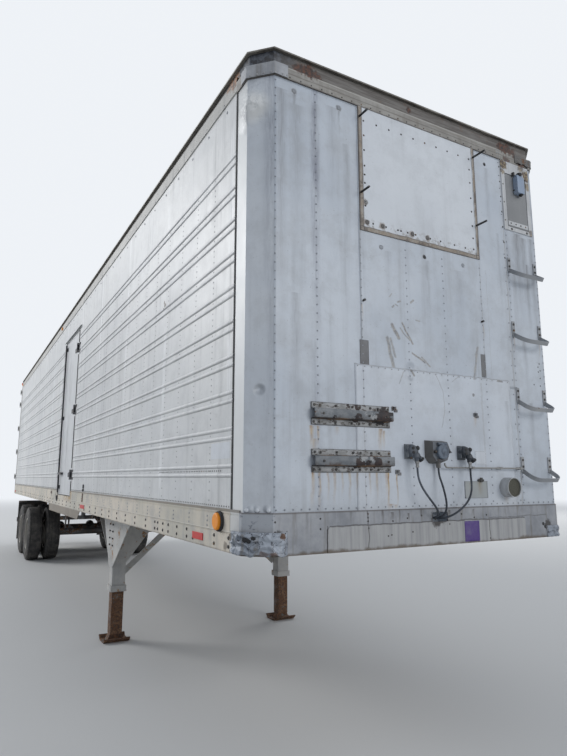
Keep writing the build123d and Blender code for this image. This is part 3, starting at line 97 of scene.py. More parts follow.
class Nodes:
    """A node tree under making, with short calls for its nodes."""

    def __init__(self, tree):
        self.tree = tree

    def node(self, kind, **settings):
        made = self.tree.nodes.new(kind)
        for key, value in settings.items():
            setattr(made, key, value)
        return made

    def feed(self, socket, value):
        """Links a socket to another one, or sets its number, vector or colour."""
        if isinstance(value, bpy.types.NodeSocket):
            self.tree.links.new(value, socket)
        else:
            socket.default_value = (*value, 1) if socket.type == "RGBA" else value

    def math(self, operation, a, b=0.0, clamp=False):
        made = self.node("ShaderNodeMath", operation=operation, use_clamp=clamp)
        self.feed(made.inputs[0], a)
        self.feed(made.inputs[1], b)
        return made.outputs[0]

    def times(self, a, b, clamp=False):
        return self.math("MULTIPLY", a, b, clamp)

    def plus(self, a, b):
        return self.math("ADD", a, b)

    def minus(self, a, b, clamp=False):
        return self.math("SUBTRACT", a, b, clamp)

    def over(self, a, b, clamp=False):
        return self.math("DIVIDE", a, b, clamp)

    def size(self, value):
        """A value without its sign."""
        return self.math("ABSOLUTE", value)

    def vector(self, operation, a, b=(0, 0, 0)):
        made = self.node("ShaderNodeVectorMath", operation=operation)
        self.feed(made.inputs[0], a)
        self.feed(made.inputs[1], b)
        return made.outputs["Value" if operation in ("DISTANCE", "DOT_PRODUCT") else "Vector"]

    def cloud(self, vector, scale, detail, roughness=0.5, distortion=0.0):
        """The outputs of a noise texture."""
        made = self.node("ShaderNodeTexNoise")
        self.feed(made.inputs["Vector"], vector)
        made.inputs["Scale"].default_value = scale
        made.inputs["Detail"].default_value = detail
        made.inputs["Roughness"].default_value = roughness
        made.inputs["Distortion"].default_value = distortion
        return made.outputs

    def parts(self, vector):
        """The three coordinates of a vector."""
        made = self.node("ShaderNodeSeparateXYZ")
        self.feed(made.inputs[0], vector)
        return made.outputs


class Shader(Nodes):
    """One node material whose colour is laid on tint over tint."""

    def __init__(self, name, colour):
        self.material = bpy.data.materials.new(name)
        self.material.use_nodes = True
        super().__init__(self.material.node_tree)
        self.bsdf = self.tree.nodes["Principled BSDF"]
        self.place = self.node("ShaderNodeTexCoord").outputs["Object"]
        self.axes = None
        self.colour = colour

    def most(self, *shares):
        """The largest of several shares."""
        total = shares[0]
        for share in shares[1:]:
            total = self.math("MAXIMUM", total, share)
        return total

    def stretched(self, x, y, z):
        """The place, scaled by a factor on each axis."""
        return self.vector("MULTIPLY", self.place, (x, y, z))

    def noise(self, scale, detail=4.0, roughness=0.55, distortion=0.0):
        """Noise of one scale, or of one for each axis."""
        vector = self.place
        if isinstance(scale, tuple):
            vector, scale = self.stretched(*scale), 1.0
        return self.cloud(vector, scale, detail, roughness, distortion)["Fac"]

    def rise(self, value, low, high):
        """0 below low, 1 above high, smooth between; low may be the larger."""
        made = self.node("ShaderNodeMapRange", interpolation_type="SMOOTHSTEP")
        self.feed(made.inputs["Value"], value)
        flip = low > high
        made.inputs["From Min"].default_value = high if flip else low
        made.inputs["From Max"].default_value = low if flip else high
        made.inputs["To Min"].default_value = 1.0 if flip else 0.0
        made.inputs["To Max"].default_value = 0.0 if flip else 1.0
        return made.outputs["Result"]

    def patches(self, low, high, scale, detail=4.0, roughness=0.55):
        """Patches of noise, from 0 where it is below low to 1 where it is above high."""
        return self.rise(self.noise(scale, detail, roughness), low, high)

    def between(self, value, low, high, soft=0.002):
        """1 where the value lies between two limits."""
        risen, fallen = self.rise(value, low - soft, low + soft), self.rise(value, high + soft, high - soft)
        return self.times(risen, fallen)

    def mix(self, share, a, b):
        made = self.node("ShaderNodeMix", data_type="RGBA")
        self.feed(made.inputs[0], share)
        self.feed(made.inputs[6], a)
        self.feed(made.inputs[7], b)
        return made.outputs[2]

    def lay(self, tint, *shares):
        """Lays a tint over the colour so far, as strongly as its shares allow together."""
        share = shares[0]
        for factor in shares[1:]:
            share = self.times(share, factor)
        self.colour = self.mix(share, self.colour, tint)

    def axis(self, index):
        """One coordinate of the place: 0, 1 or 2."""
        if self.axes is None:
            self.axes = self.parts(self.place)
        return self.axes[index]

    def wobbly(self, index, scale=11.0, reach=0.02):
        """One coordinate of the place, pushed to and fro by noise."""
        return self.plus(self.axis(index), self.times(self.minus(self.noise(scale, 5), 0.5), reach))

    def wrapped(self, value, pitch):
        """What is left of a value over a multiple of the pitch."""
        return self.math("FLOORED_MODULO", value, pitch)

    def off_lines(self, index, first, pitch):
        """How far the place is, along one axis, from the nearest of evenly spaced lines."""
        start = self.minus(self.axis(index), first - pitch / 2)
        return self.size(self.minus(self.wrapped(start, pitch), pitch / 2))

    def bump(self, height, distance, strength=1.0, normal=None):
        made = self.node("ShaderNodeBump")
        self.feed(made.inputs["Height"], height)
        made.inputs["Distance"].default_value = distance
        made.inputs["Strength"].default_value = strength
        if normal is not None:
            self.feed(made.inputs["Normal"], normal)
        return made.outputs["Normal"]

    def done(self, roughness, normal=None, metallic=0.0):
        self.feed(self.bsdf.inputs["Base Color"], self.colour)
        self.feed(self.bsdf.inputs["Roughness"], roughness)
        self.feed(self.bsdf.inputs["Metallic"], metallic)
        if normal is not None:
            self.feed(self.bsdf.inputs["Normal"], normal)
        return self.material


def node_group(name, **inputs):
    """A new node group with its named inputs, and those inputs as sockets."""
    tree = bpy.data.node_groups.new(name, "ShaderNodeTree")
    for key, kind in inputs.items():
        tree.interface.new_socket(key, in_out="INPUT", socket_type="NodeSocket" + kind)
    tree.interface.new_socket("Share", in_out="OUTPUT", socket_type="NodeSocketFloat")
    return Nodes(tree), tree.nodes.new("NodeGroupInput").outputs


def finished(g, share):
    """The node group, with this share as what it gives."""
    g.feed(g.node("NodeGroupOutput").inputs[0], share)
    return g.tree


def drip_group():
    """How strongly a run of rust or dirt shows, from its top at (Across, Top) down."""
    g, given = node_group("drip", Place="Vector", Across="Float", Top="Float", Length="Float", Width="Float")
    place = given["Place"]
    x, _, z = g.parts(place)
    sway = g.cloud(g.vector("MULTIPLY", place, (6, 6, 9)), 1.0, 2)["Fac"]
    grain = g.cloud(g.vector("MULTIPLY", place, (160, 160, 14)), 1.0, 4)["Fac"]
    across = g.minus(g.plus(x, g.times(sway, 0.035)), 0.0175)
    spread = g.over(g.size(g.minus(across, given["Across"])), given["Width"])
    down = g.over(g.minus(given["Top"], z), given["Length"])
    side, fade = g.minus(1.0, spread, True), g.minus(1.0, down, True)
    strength = g.times(g.math("GREATER_THAN", down), g.times(grain, 1.9))
    return finished(g, g.times(g.times(side, fade), strength, True))


def stroke_group():
    """How strongly a scratch from Start to End shows on the nose, wobbly and worn."""
    g, given = node_group("stroke", Place="Vector", Start="Vector", End="Vector", Width="Float")
    flat = g.vector("MULTIPLY", given["Place"], (1, 0, 1))
    drift = g.vector("SUBTRACT", g.cloud(flat, 14, 2)["Color"], (0.5, 0.5, 0.5))
    flat = g.vector("ADD", flat, g.vector("MULTIPLY", drift, (0.02, 0, 0.02)))
    away = g.vector("SUBTRACT", flat, given["Start"])
    run = g.vector("SUBTRACT", given["End"], given["Start"])
    along = g.over(g.vector("DOT_PRODUCT", away, run), g.vector("DOT_PRODUCT", run, run), True)
    nearest = g.node("ShaderNodeVectorMath", operation="SCALE")
    g.feed(nearest.inputs[0], run)
    g.feed(nearest.inputs["Scale"], along)
    distance = g.vector("DISTANCE", away, nearest.outputs["Vector"])
    share = g.minus(1.0, g.over(distance, given["Width"]), True)
    grain = g.times(g.cloud(flat, 70, 5)["Fac"], 3.2)
    return finished(g, g.times(share, grain, True))


def blotch_group():
    """How strongly a ragged round stain shows about Middle, seen along one axis that Flat leaves out."""
    g, given = node_group("blotch", Place="Vector", Flat="Vector", Middle="Vector", Radius="Float")
    flat = g.vector("MULTIPLY", given["Place"], given["Flat"])
    distance = g.over(g.vector("DISTANCE", flat, given["Middle"]), given["Radius"])
    ragged = g.times(g.cloud(flat, 45, 6)["Fac"], 1.5)
    share = g.minus(1.75, g.plus(distance, ragged))
    return finished(g, g.times(share, 3.0, True))


DRIP, STROKE, BLOTCH = drip_group(), stroke_group(), blotch_group()

# Colours, linear
# The nose's white paint, darker and bluer than the sides' white: painted shade, as on a nose lit only by a
# blue sky
SHADED_NOSE_WHITE = (0.555, 0.595, 0.645)
WHITE_COOL = (0.455, 0.50, 0.56)
GRIME = (0.15, 0.135, 0.115)
GREY_DIRT = (0.30, 0.305, 0.31)
RUST = (0.15, 0.068, 0.028)
RUST_LIGHT = (0.36, 0.20, 0.080)
RUN = (0.30, 0.165, 0.060)
RUN_LIGHT = (0.46, 0.33, 0.17)
RUST_DARK = (0.05, 0.028, 0.020)
SEALANT = (0.235, 0.185, 0.135)
CREAM = (0.67, 0.60, 0.50)
BLACK = (0.018, 0.017, 0.017)


def heaped(s, tree, uses):
    """The most that any use of a stain group shows: each is (strength, the group's values)."""
    total = 0.0
    for strength, values in uses:
        made = s.node("ShaderNodeGroup", node_tree=tree)
        s.feed(made.inputs["Place"], s.place)
        for key, value in values.items():
            made.inputs[key].default_value = value
        total = s.most(total, s.times(made.outputs[0], strength))
    return total


def drips(s, marks):
    """Runs: each is (across, top, length, width, strength) in body metres."""
    return heaped(s, DRIP, [(strength, dict(Across=across, Top=RAIL + top, Length=length, Width=width))
                            for across, top, length, width, strength in marks])


def strokes(s, marks):
    """Scratches: each is (x, z, x, z, width, strength) in body metres."""
    return heaped(s, STROKE, [(strength, dict(Start=(x0, 0, RAIL + z0), End=(x1, 0, RAIL + z1), Width=width))
                              for x0, z0, x1, z1, width, strength in marks])


def blotches(s, marks, side=False):
    """Ragged stains: each is (across or along, up, radius, strength) in body metres."""
    uses = []
    for a, z, radius, strength in marks:
        middle = (0, NOSE + a, RAIL + z) if side else (a, 0, RAIL + z)
        uses.append((strength, dict(Flat=(0, 1, 1) if side else (1, 0, 1), Radius=radius, Middle=middle)))
    return heaped(s, BLOTCH, uses)


def dented(s, dents, normal):
    """Soft creased dents: each is (place in body metres, radius, depth)."""
    height = None
    for place, radius, depth in dents:
        away = s.vector("DISTANCE", s.place, at(*place))
        bowl = s.times(s.rise(away, radius, 0.0), -depth)
        height = bowl if height is None else s.plus(height, bowl)
    return s.bump(s.times(height, s.plus(s.noise(13, 4), 0.5)), 1.0, 1.0, normal)


def painted(name, base=SHADED_NOSE_WHITE, cool=WHITE_COOL, grime=0.35, streak=0.45, rust=0.0, rough=0.42, wave=0.004,
            low_dirt=None, marks=(), scratches=(), dents=(), layers=None):
    """Old painted sheet: uneven colour, runs of dirt, smudges, specks, rust and a slightly wavy skin."""
    s = Shader(name, base)
    s.lay(cool, s.patches(0.35, 0.7, 0.9, 5, 0.6))
    runs = s.times(s.patches(0.48, 0.76, (16, 16, 0.55), 6, 0.62), s.patches(0.36, 0.62, 1.3, 4, 0.6))
    s.lay(GREY_DIRT, runs, streak)
    s.lay(GREY_DIRT, s.patches(0.42, 0.68, 5.5, 8, 0.72), grime * 0.8)
    s.lay(GRIME, s.rise(s.noise((3.1, 3.1, 5.27), 8, 0.7, 0.6), 0.58, 0.8), grime)
    s.lay(GRIME, s.patches(0.66, 0.74, 75, 3, 0.6), grime)
    if low_dirt is not None:
        clean_z, dirty_z, strength = low_dirt
        s.lay(GRIME, s.rise(s.wobbly(2, 4, 0.12), RAIL + clean_z, RAIL + dirty_z), strength)
    if scratches:
        s.lay(s.mix(s.patches(0.4, 0.6, 60, 3), (0.15, 0.14, 0.13), (0.31, 0.275, 0.23)),
              strokes(s, scratches))
    if rust:
        fine = s.noise(42, 4, 0.7)
        bloom = s.plus(s.times(s.noise(7, 8, 0.72), 0.7), s.times(fine, 0.3))
        edge = 0.72 - 0.22 * rust
        s.lay(s.mix(s.rise(fine, 0.4, 0.6), RUST, RUST_LIGHT), s.rise(bloom, edge, edge + 0.05))
    if marks:
        s.lay(s.mix(s.patches(0.4, 0.6, 30, 3), RUN, RUN_LIGHT), drips(s, marks))
    if layers is not None:
        layers(s)
    normal = s.bump(s.noise(1.6, 2, 0.4), wave)
    normal = s.bump(s.noise(210, 2), 0.0002, 0.6, normal)
    if dents:
        normal = dented(s, dents, normal)
    return s.done(s.plus(s.times(s.plus(runs, s.noise(9, 4)), 0.16), rough - 0.08), normal)


def bare_metal(name, base, dark, stain=0.5, rough=0.5, rust=0.0, metallic=0.3, layers=None):
    """Dull oxidised aluminium or zinc: blotches, runs and fine scratches."""
    s = Shader(name, base)
    cloud = s.noise(4.5, 7, 0.68)
    s.lay(dark, s.rise(cloud, 0.35, 0.68))
    s.lay(GRIME, s.patches(0.5, 0.75, (26, 26, 2.2), 6, 0.6), stain)
    s.lay(base, s.patches(0.6, 0.7, (60, 60, 1.5), 3, 0.5), 0.3)
    if rust:
        edge = 0.72 - 0.22 * rust
        s.lay(s.mix(s.noise(40, 3), RUST_DARK, RUST_LIGHT), s.patches(edge, edge + 0.05, 9, 8, 0.75))
    if layers is not None:
        layers(s)
    normal = s.bump(s.noise(140, 3), 0.0004, 0.7, s.bump(s.noise(2.2, 3), 0.003))
    return s.done(s.plus(s.times(cloud, 0.3), rough - 0.12), normal, metallic)


def rusted(name, paint, amount=0.5, light=RUST_LIGHT, rough=0.75, left=GREY_DIRT, scale=6.0, layers=None):
    """Steel whose paint has gone in patches, with scaly rust under it."""
    s = Shader(name, paint)
    fine = s.noise(48, 6, 0.7)
    rust = s.mix(s.rise(fine, 0.38, 0.62), RUST_DARK, s.mix(s.patches(0.45, 0.6, 15, 4), RUST, light))
    bloom = s.plus(s.times(s.noise(scale, 9, 0.74), 0.75), s.times(fine, 0.25))
    share = s.rise(bloom, 0.68 - 0.36 * amount, 0.72 - 0.36 * amount)
    s.lay(left, s.patches(0.4, 0.7, 3, 5))
    s.lay(rust, share)
    if layers is not None:
        layers(s)
    normal = s.bump(s.times(share, s.noise(90, 5, 0.7)), 0.0012)
    return s.done(s.plus(s.times(share, 0.2), rough - 0.15), normal)


def rubber(name, base, dust, amount=0.6):
    """Old rubber, dusty and slightly cracked."""
    s = Shader(name, base)
    s.lay(dust, s.patches(0.4, 0.7, 7, 7, 0.7), amount)
    return s.done(0.82, s.bump(s.noise((70, 70, 24), 4, 0.7), 0.0006, 0.8))


def lens(name, base, dust):
    """Ribbed coloured plastic, faded and dusty."""
    s = Shader(name, base)
    s.lay(GREY_DIRT, s.patches(0.45, 0.7, 30, 5), dust)
    wave = s.node("ShaderNodeTexWave", wave_type="BANDS", bands_direction="Z")
    s.feed(wave.inputs["Vector"], s.place)
    wave.inputs["Scale"].default_value = 60
    return s.done(0.5, s.bump(wave.outputs["Fac"], 0.0006, 0.5))


NOSE_RUNS = (
    # across, top, length, width, strength
    (-0.860, 0.67, 0.14, 0.016, 1.0), (-0.822, 0.67, 0.12, 0.011, 1.0), (-0.845, 0.60, 0.14, 0.030, 0.5),
    (-0.400, 0.67, 0.14, 0.022, 0.9), (-0.375, 0.66, 0.12, 0.012, 0.8), (-0.350, 0.42, 0.25, 0.010, 1.4),
    (-0.362, 0.42, 0.14, 0.016, 0.7), (-0.287, 0.41, 0.20, 0.008, 1.1), (-0.860, 0.42, 0.20, 0.016, 0.9),
    (-0.815, 0.42, 0.24, 0.012, 0.9), (-0.760, 0.42, 0.16, 0.010, 0.6), (-0.720, 0.42, 0.18, 0.012, 0.7),
    (-0.670, 0.42, 0.14, 0.010, 0.6), (-0.620, 0.42, 0.17, 0.012, 0.7), (-0.570, 0.42, 0.14, 0.010, 0.6),
    (-0.480, 0.42, 0.14, 0.012, 0.6), (-0.430, 0.42, 0.16, 0.012, 0.7), (-0.700, 0.67, 0.05, 0.02, 0.5),
    (-0.46, 1.91, 0.05, 0.014, 0.8), (-0.34, 1.91, 0.05, 0.012, 0.6), (-0.10, 1.91, 0.05, 0.014, 0.8),
    (0.03, 1.91, 0.05, 0.013, 0.7), (-0.505, 1.40, 0.10, 0.007, 0.5), (0.505, 1.41, 0.12, 0.008, 0.5),
    (0.80, 1.38, 0.14, 0.012, 0.5), (1.06, 1.36, 0.14, 0.012, 0.5), (0.80, 0.92, 0.12, 0.010, 0.4),
    (0.372, 0.78, 0.08, 0.020, 0.5), (0.387, 0.37, 0.07, 0.012, 0.8), (0.62, 0.27, 0.05, 0.03, 0.4),
    (-0.335, 0.245, 0.03, 0.030, 0.7), (-0.30, 0.24, 0.025, 0.016, 0.6),
)
NOSE_DIRT_RUNS = (
    # across, top, length, width, strength
    (0.900, 2.14, 0.70, 0.060, 0.8), (0.960, 2.12, 0.55, 0.050, 0.8), (0.985, 1.92, 0.60, 0.030, 0.8),
    (1.050, 2.13, 1.10, 0.040, 0.6), (0.850, 1.85, 0.50, 0.035, 0.5), (0.905, 1.36, 0.40, 0.030, 0.5),
    (-1.050, 2.62, 1.60, 0.045, 0.6), (-0.950, 2.55, 1.00, 0.060, 0.45), (-0.820, 2.60, 1.10, 0.030, 0.45),
    (-0.700, 2.62, 0.80, 0.050, 0.4), (-0.600, 2.40, 0.90, 0.030, 0.35), (0.620, 2.58, 0.70, 0.030, 0.35),
    (0.700, 2.10, 0.90, 0.020, 0.3), (-0.965, 2.61, 0.25, 0.014, 0.8), (-0.650, 2.61, 0.18, 0.012, 0.6),
    (-0.300, 1.77, 0.50, 0.040, 0.25), (0.020, 1.77, 0.45, 0.020, 0.4), (0.300, 1.75, 0.60, 0.050, 0.25),
    (-0.960, 1.40, 0.90, 0.040, 0.4), (0.930, 0.90, 0.50, 0.030, 0.4), (0.680, 0.90, 0.50, 0.030, 0.3),
)
COLUMN_DIRT = (
    # across, strength
    (-1.100, 1.9), (-0.825, 1.3), (-0.512, 0.4), (-0.163, 0.3), (0.147, 0.25), (0.490, 0.4), (0.785, 0.6),
    (1.095, 0.7),
)
NOSE_SCRATCHES = (
    # x, z, x, z, width, strength
    (-0.325, 1.215, -0.285, 1.045, 0.018, 0.68), (-0.300, 1.215, -0.270, 1.110, 0.012, 0.59),
    (-0.285, 1.300, -0.235, 1.225, 0.0165, 0.77), (-0.205, 1.325, -0.130, 1.200, 0.009, 0.77),
    (-0.225, 1.290, -0.150, 1.220, 0.0075, 0.59), (-0.130, 1.145, -0.040, 1.095, 0.009, 0.77),
    (-0.060, 1.125, 0.005, 1.075, 0.0075, 0.68), (0.435, 1.240, 0.385, 1.030, 0.012, 0.59),
    (0.412, 1.200, 0.402, 1.050, 0.009, 0.42), (-0.210, 1.020, -0.245, 0.945, 0.005, 0.4),
    (-0.150, 1.035, -0.130, 1.005, 0.0105, 0.77), (0.605, 1.030, 0.645, 1.028, 0.009, 0.77),
    (0.050, 1.020, 0.105, 0.930, 0.004, 0.4), (0.105, 0.930, 0.110, 0.790, 0.004, 0.4),
    (0.110, 0.790, 0.080, 0.700, 0.004, 0.4), (0.250, 1.035, 0.185, 0.990, 0.004, 0.4),
    (-0.280, 1.415, -0.265, 1.425, 0.0075, 0.68), (-0.235, 1.455, -0.215, 1.465, 0.0075, 0.68),
    (-0.130, 1.465, -0.110, 1.480, 0.009, 0.68), (-0.255, 1.435, -0.235, 1.430, 0.006, 0.59),
    (-0.300, 1.480, -0.285, 1.500, 0.006, 0.51), (-0.095, 1.355, -0.060, 1.350, 0.006, 0.51),
    (-0.570, 1.037, 0.720, 1.037, 0.005, 0.35), (-0.510, 1.860, -0.515, 1.190, 0.005, 0.35),
    (-0.512, 1.030, -0.512, 0.220, 0.004, 0.3), (0.497, 1.860, 0.497, 1.200, 0.005, 0.35),
    (0.765, 2.680, 0.772, 0.220, 0.006, 0.4), (0.555, 1.800, 0.555, 1.050, 0.003, 0.25),
    (0.445, 1.000, 0.445, 0.450, 0.01, 0.22),
)
NOSE_DARK = (
    # across, up, radius, strength
    (-0.965, 2.63, 0.022, 0.6), (-0.650, 2.63, 0.022, 0.7), (-0.350, 1.785, 0.018, 0.6),
    (0.340, 1.795, 0.016, 0.5), (0.610, 2.605, 0.016, 0.8), (0.0, 1.790, 0.018, 0.8),
    (0.375, 0.79, 0.022, 0.4), (0.37, 0.92, 0.012, 0.7),
)
NOSE_DENTS = (
    # place, radius, depth
    ((-1.205, 0.12, 2.56), 0.20, -0.050), ((-1.17, 0.07, 2.44), 0.13, 0.024),
    ((-1.155, 0.06, 0.85), 0.040, 0.026), ((-1.19, 0.085, 0.232), 0.026, -0.016),
    ((-1.165, 0.06, 0.234), 0.026, -0.018), ((-1.125, 0.025, 0.236), 0.026, -0.018),
    ((-0.22, 0.0, 1.20), 0.16, 0.004),
    ((-0.150, 0.005, 1.050), 0.045, 0.014), ((-0.155, 0.005, 0.995), 0.030, -0.010),
    ((0.10, 0.0, 0.88), 0.15, 0.004), ((-0.60, 0.0, 1.62), 0.35, 0.005), ((0.62, 0.0, 1.30), 0.30, 0.004),
)


def smeared(s):
    """Soft upright smears, stronger at the head of the nose."""
    smear = s.patches(0.34, 0.72, (26, 26, 3.2), 7, 0.7)
    return s.times(smear, s.plus(s.times(s.rise(s.axis(2), RAIL + 1.2, RAIL + 2.3), 0.5), 0.3))


def nose_sheet_paint(name, x0, x1, z0, z1, **look):
    """The nose's paint for one sheet, with the runs, scratches, dents and dirt that lie on it."""
    def lies(low_x, high_x, low_z, high_z):
        return low_x < x1 and high_x > x0 and low_z < z1 and high_z > z0

    runs, darkening = ([m for m in marks if lies(m[0] - 0.03, m[0] + 0.03, m[1] - m[2], m[1])]
                  for marks in (NOSE_RUNS, NOSE_DIRT_RUNS))
    scratches = [m for m in NOSE_SCRATCHES
                 if lies(min(m[0], m[2]), max(m[0], m[2]), min(m[1], m[3]), max(m[1], m[3]))]
    dents = [m for m in NOSE_DENTS if lies(m[0][0] - m[1], m[0][0] + m[1], m[0][2] - m[1], m[0][2] + m[1])]
    columns = [m for m in COLUMN_DIRT if lies(m[0], m[0], z0, z1)]
    dark = [m for m in NOSE_DARK if lies(m[0] - m[2], m[0] + m[2], m[1] - m[2], m[1] + m[2])]

    def layers(s):
        """Grey runs, dirt along the rivet columns, and dark marks round the plugs and lugs."""
        s.lay((0.19, 0.195, 0.21), drips(s, darkening))
        swaying, near = s.wobbly(0, 5, 0.02), 0.0
        for x, strength in columns:
            away = s.size(s.minus(swaying, x))
            near = s.most(near, s.times(s.rise(away, 0.045, 0.0), strength))
        s.lay((0.15, 0.16, 0.21), s.times(near, smeared(s), True))
        s.lay((0.13, 0.12, 0.11), blotches(s, dark))

    return painted(name, marks=runs, scratches=scratches, dents=dents, layers=layers, **look)


def post_layers(s):
    """Dirt along the corner posts' front edges, painted light on their sides and a painted highlight on the
    bulge at the curb corner's head.
    """
    away = s.minus(FLAT_X + 0.006, s.size(s.wobbly(0, 5, 0.02)))
    s.lay((0.17, 0.18, 0.225), s.rise(away, -0.060, 0.0), smeared(s))
    # The sides are painted whiter than the chamfers, as if lit: painted light; the soft white spot on the
    # bulge is a painted highlight
    side = s.rise(s.axis(1), NOSE + CHAMFER + 0.002, NOSE + CHAMFER + 0.008)
    bulge = s.rise(s.vector("DISTANCE", s.place, at(-1.19, 0.10, 2.51)), 0.13, 0.05)
    s.lay((0.76, 0.765, 0.75), s.most(side, bulge), 0.75)


def blank_layers(s):
    """Brown sealant round the blanking panel, rusty washers' stains and black studs."""
    x, y, z = s.wobbly(0, 16, 0.012), s.axis(1), s.wobbly(2, 16, 0.016)
    low = RAIL + PANEL_LOW
    left, right = s.rise(x, -0.472, -0.482), s.rise(x, 0.472, 0.480)
    edge = s.most(left, right, s.rise(z, low + 0.034, low + 0.026))
    tint = s.mix(s.patches(0.38, 0.62, 26, 6, 0.7), SEALANT, (0.30, 0.27, 0.235))
    tint = s.mix(s.patches(0.50, 0.62, 9, 6, 0.7), tint, (0.10, 0.08, 0.065))
    rims = s.most(s.between(x, -0.484, -0.472, 0.003), s.rise(x, -0.500, -0.506),
                  s.between(x, 0.466, 0.473, 0.003), s.rise(x, 0.490, 0.496),
                  s.between(z, low + 0.024, low + 0.032, 0.003), s.rise(z, low + 0.006, low))
    tint = s.mix(s.times(rims, 0.85), tint, (0.055, 0.045, 0.040))
    s.lay(tint, edge, s.patches(0.2, 0.34, 6, 5))
    stains = [(x, 1.925, 0.026, 0.7) for x in (-0.46, -0.34, -0.10, 0.03)] + [(-0.47, 2.05, 0.024, 0.7)]
    s.lay((0.20, 0.15, 0.11), blotches(s, stains))
    foot = s.times(s.rise(z, low + 0.11, low + 0.03), s.patches(0.50, 0.62, 30, 5, 0.7))
    s.lay((0.20, 0.17, 0.14), foot, 0.6)
    s.lay(BLACK, s.rise(y, NOSE - 0.0008, NOSE - 0.0016))


def corner_layers(s):
    """Rust at the head and along the edge of the corner panel."""
    rust = blotches(s, ((0.80, 2.66, 0.045, 1.0), (1.045, 2.62, 0.05, 1.0), (0.79, 2.60, 0.025, 0.8),
                        (0.99, 2.67, 0.035, 0.8), (1.055, 2.54, 0.035, 0.8), (1.06, 2.17, 0.03, 0.7)))
    s.lay(s.mix(s.patches(0.4, 0.6, 60, 4), RUST_DARK, (0.25, 0.19, 0.10)), rust)


def hat_layers(s):
    """Peeling patches, and dirt in the inner corners of the hat sections."""
    up = s.wrapped(s.minus(s.axis(2), RAIL + HAT_LOW), HAT_RISE)
    flange = s.most(s.rise(up, HAT_FLANGE + 0.001, HAT_FLANGE - 0.001),
                    s.rise(up, HAT_H - HAT_FLANGE - 0.001, HAT_H - HAT_FLANGE + 0.001))
    spots = s.patches(0.53, 0.575, (26, 26, 64), 7, 0.72)
    flange_tint = s.mix(s.patches(0.4, 0.6, 14, 5), (0.38, 0.385, 0.385), (0.24, 0.24, 0.235))
    flange_tint = s.mix(s.times(spots, 0.85), flange_tint, (0.060, 0.045, 0.038))
    rims = s.most(s.rise(up, 0.0035, 0.0015), s.rise(up, HAT_H - 0.0035, HAT_H - 0.0015),
                  s.rise(s.axis(0), -0.864, -0.867))
    flange_tint = s.mix(s.times(rims, 0.8), flange_tint, (0.055, 0.045, 0.040))
    mottle = s.patches(0.42, 0.62, (16, 16, 30), 7, 0.72)
    s.lay((0.105, 0.12, 0.135), mottle, 0.7)
    foot_stain = s.times(s.rise(up, HAT_FLANGE + 0.030, HAT_FLANGE + 0.006),
                         s.patches(0.46, 0.60, 15, 7, 0.7))
    s.lay((0.075, 0.048, 0.034), foot_stain, 0.8)
    s.lay(flange_tint, flange)
    peeled = blotches(s, ((-0.400, 0.735, 0.060, 1.0), (-0.445, 0.722, 0.040, 1.0),
                          (-0.375, 0.765, 0.040, 1.0), (-0.580, 0.720, 0.035, 0.9),
                          (-0.560, 0.790, 0.030, 0.9), (-0.620, 0.790, 0.020, 0.8),
                          (-0.575, 0.475, 0.045, 1.0), (-0.450, 0.478, 0.035, 1.0),
                          (-0.520, 0.468, 0.028, 0.9), (-0.355, 0.760, 0.03, 1.0),
                          (-0.74, 0.712, 0.022, 0.8), (-0.47, 0.500, 0.025, 0.8)))
    torn = s.rise(s.times(peeled, s.noise(24, 8, 0.78)), 0.36, 0.40)
    s.lay(s.mix(s.patches(0.4, 0.6, 30, 5), (0.012, 0.008, 0.010), (0.032, 0.018, 0.016)), torn)
    bare = blotches(s, ((-0.475, 0.735, 0.030, 0.9), (-0.515, 0.745, 0.028, 0.8), (-0.545, 0.500, 0.030, 0.9),
                        (-0.495, 0.495, 0.022, 0.9), (-0.650, 0.735, 0.025, 0.5)))
    chipped = s.rise(s.times(bare, s.noise(30, 8, 0.78)), 0.40, 0.44)
    s.lay((0.34, 0.345, 0.345), chipped)
    inner = s.most(s.between(up, HAT_FLANGE - 0.002, HAT_FLANGE + 0.006, 0.002),
                   s.between(up, HAT_H - HAT_FLANGE - 0.003, HAT_H - HAT_FLANGE + 0.001, 0.001))
    rusty = s.mix(s.patches(0.45, 0.6, 9, 5), (0.030, 0.024, 0.022), (0.16, 0.085, 0.035))
    s.lay(rusty, inner, 0.9)


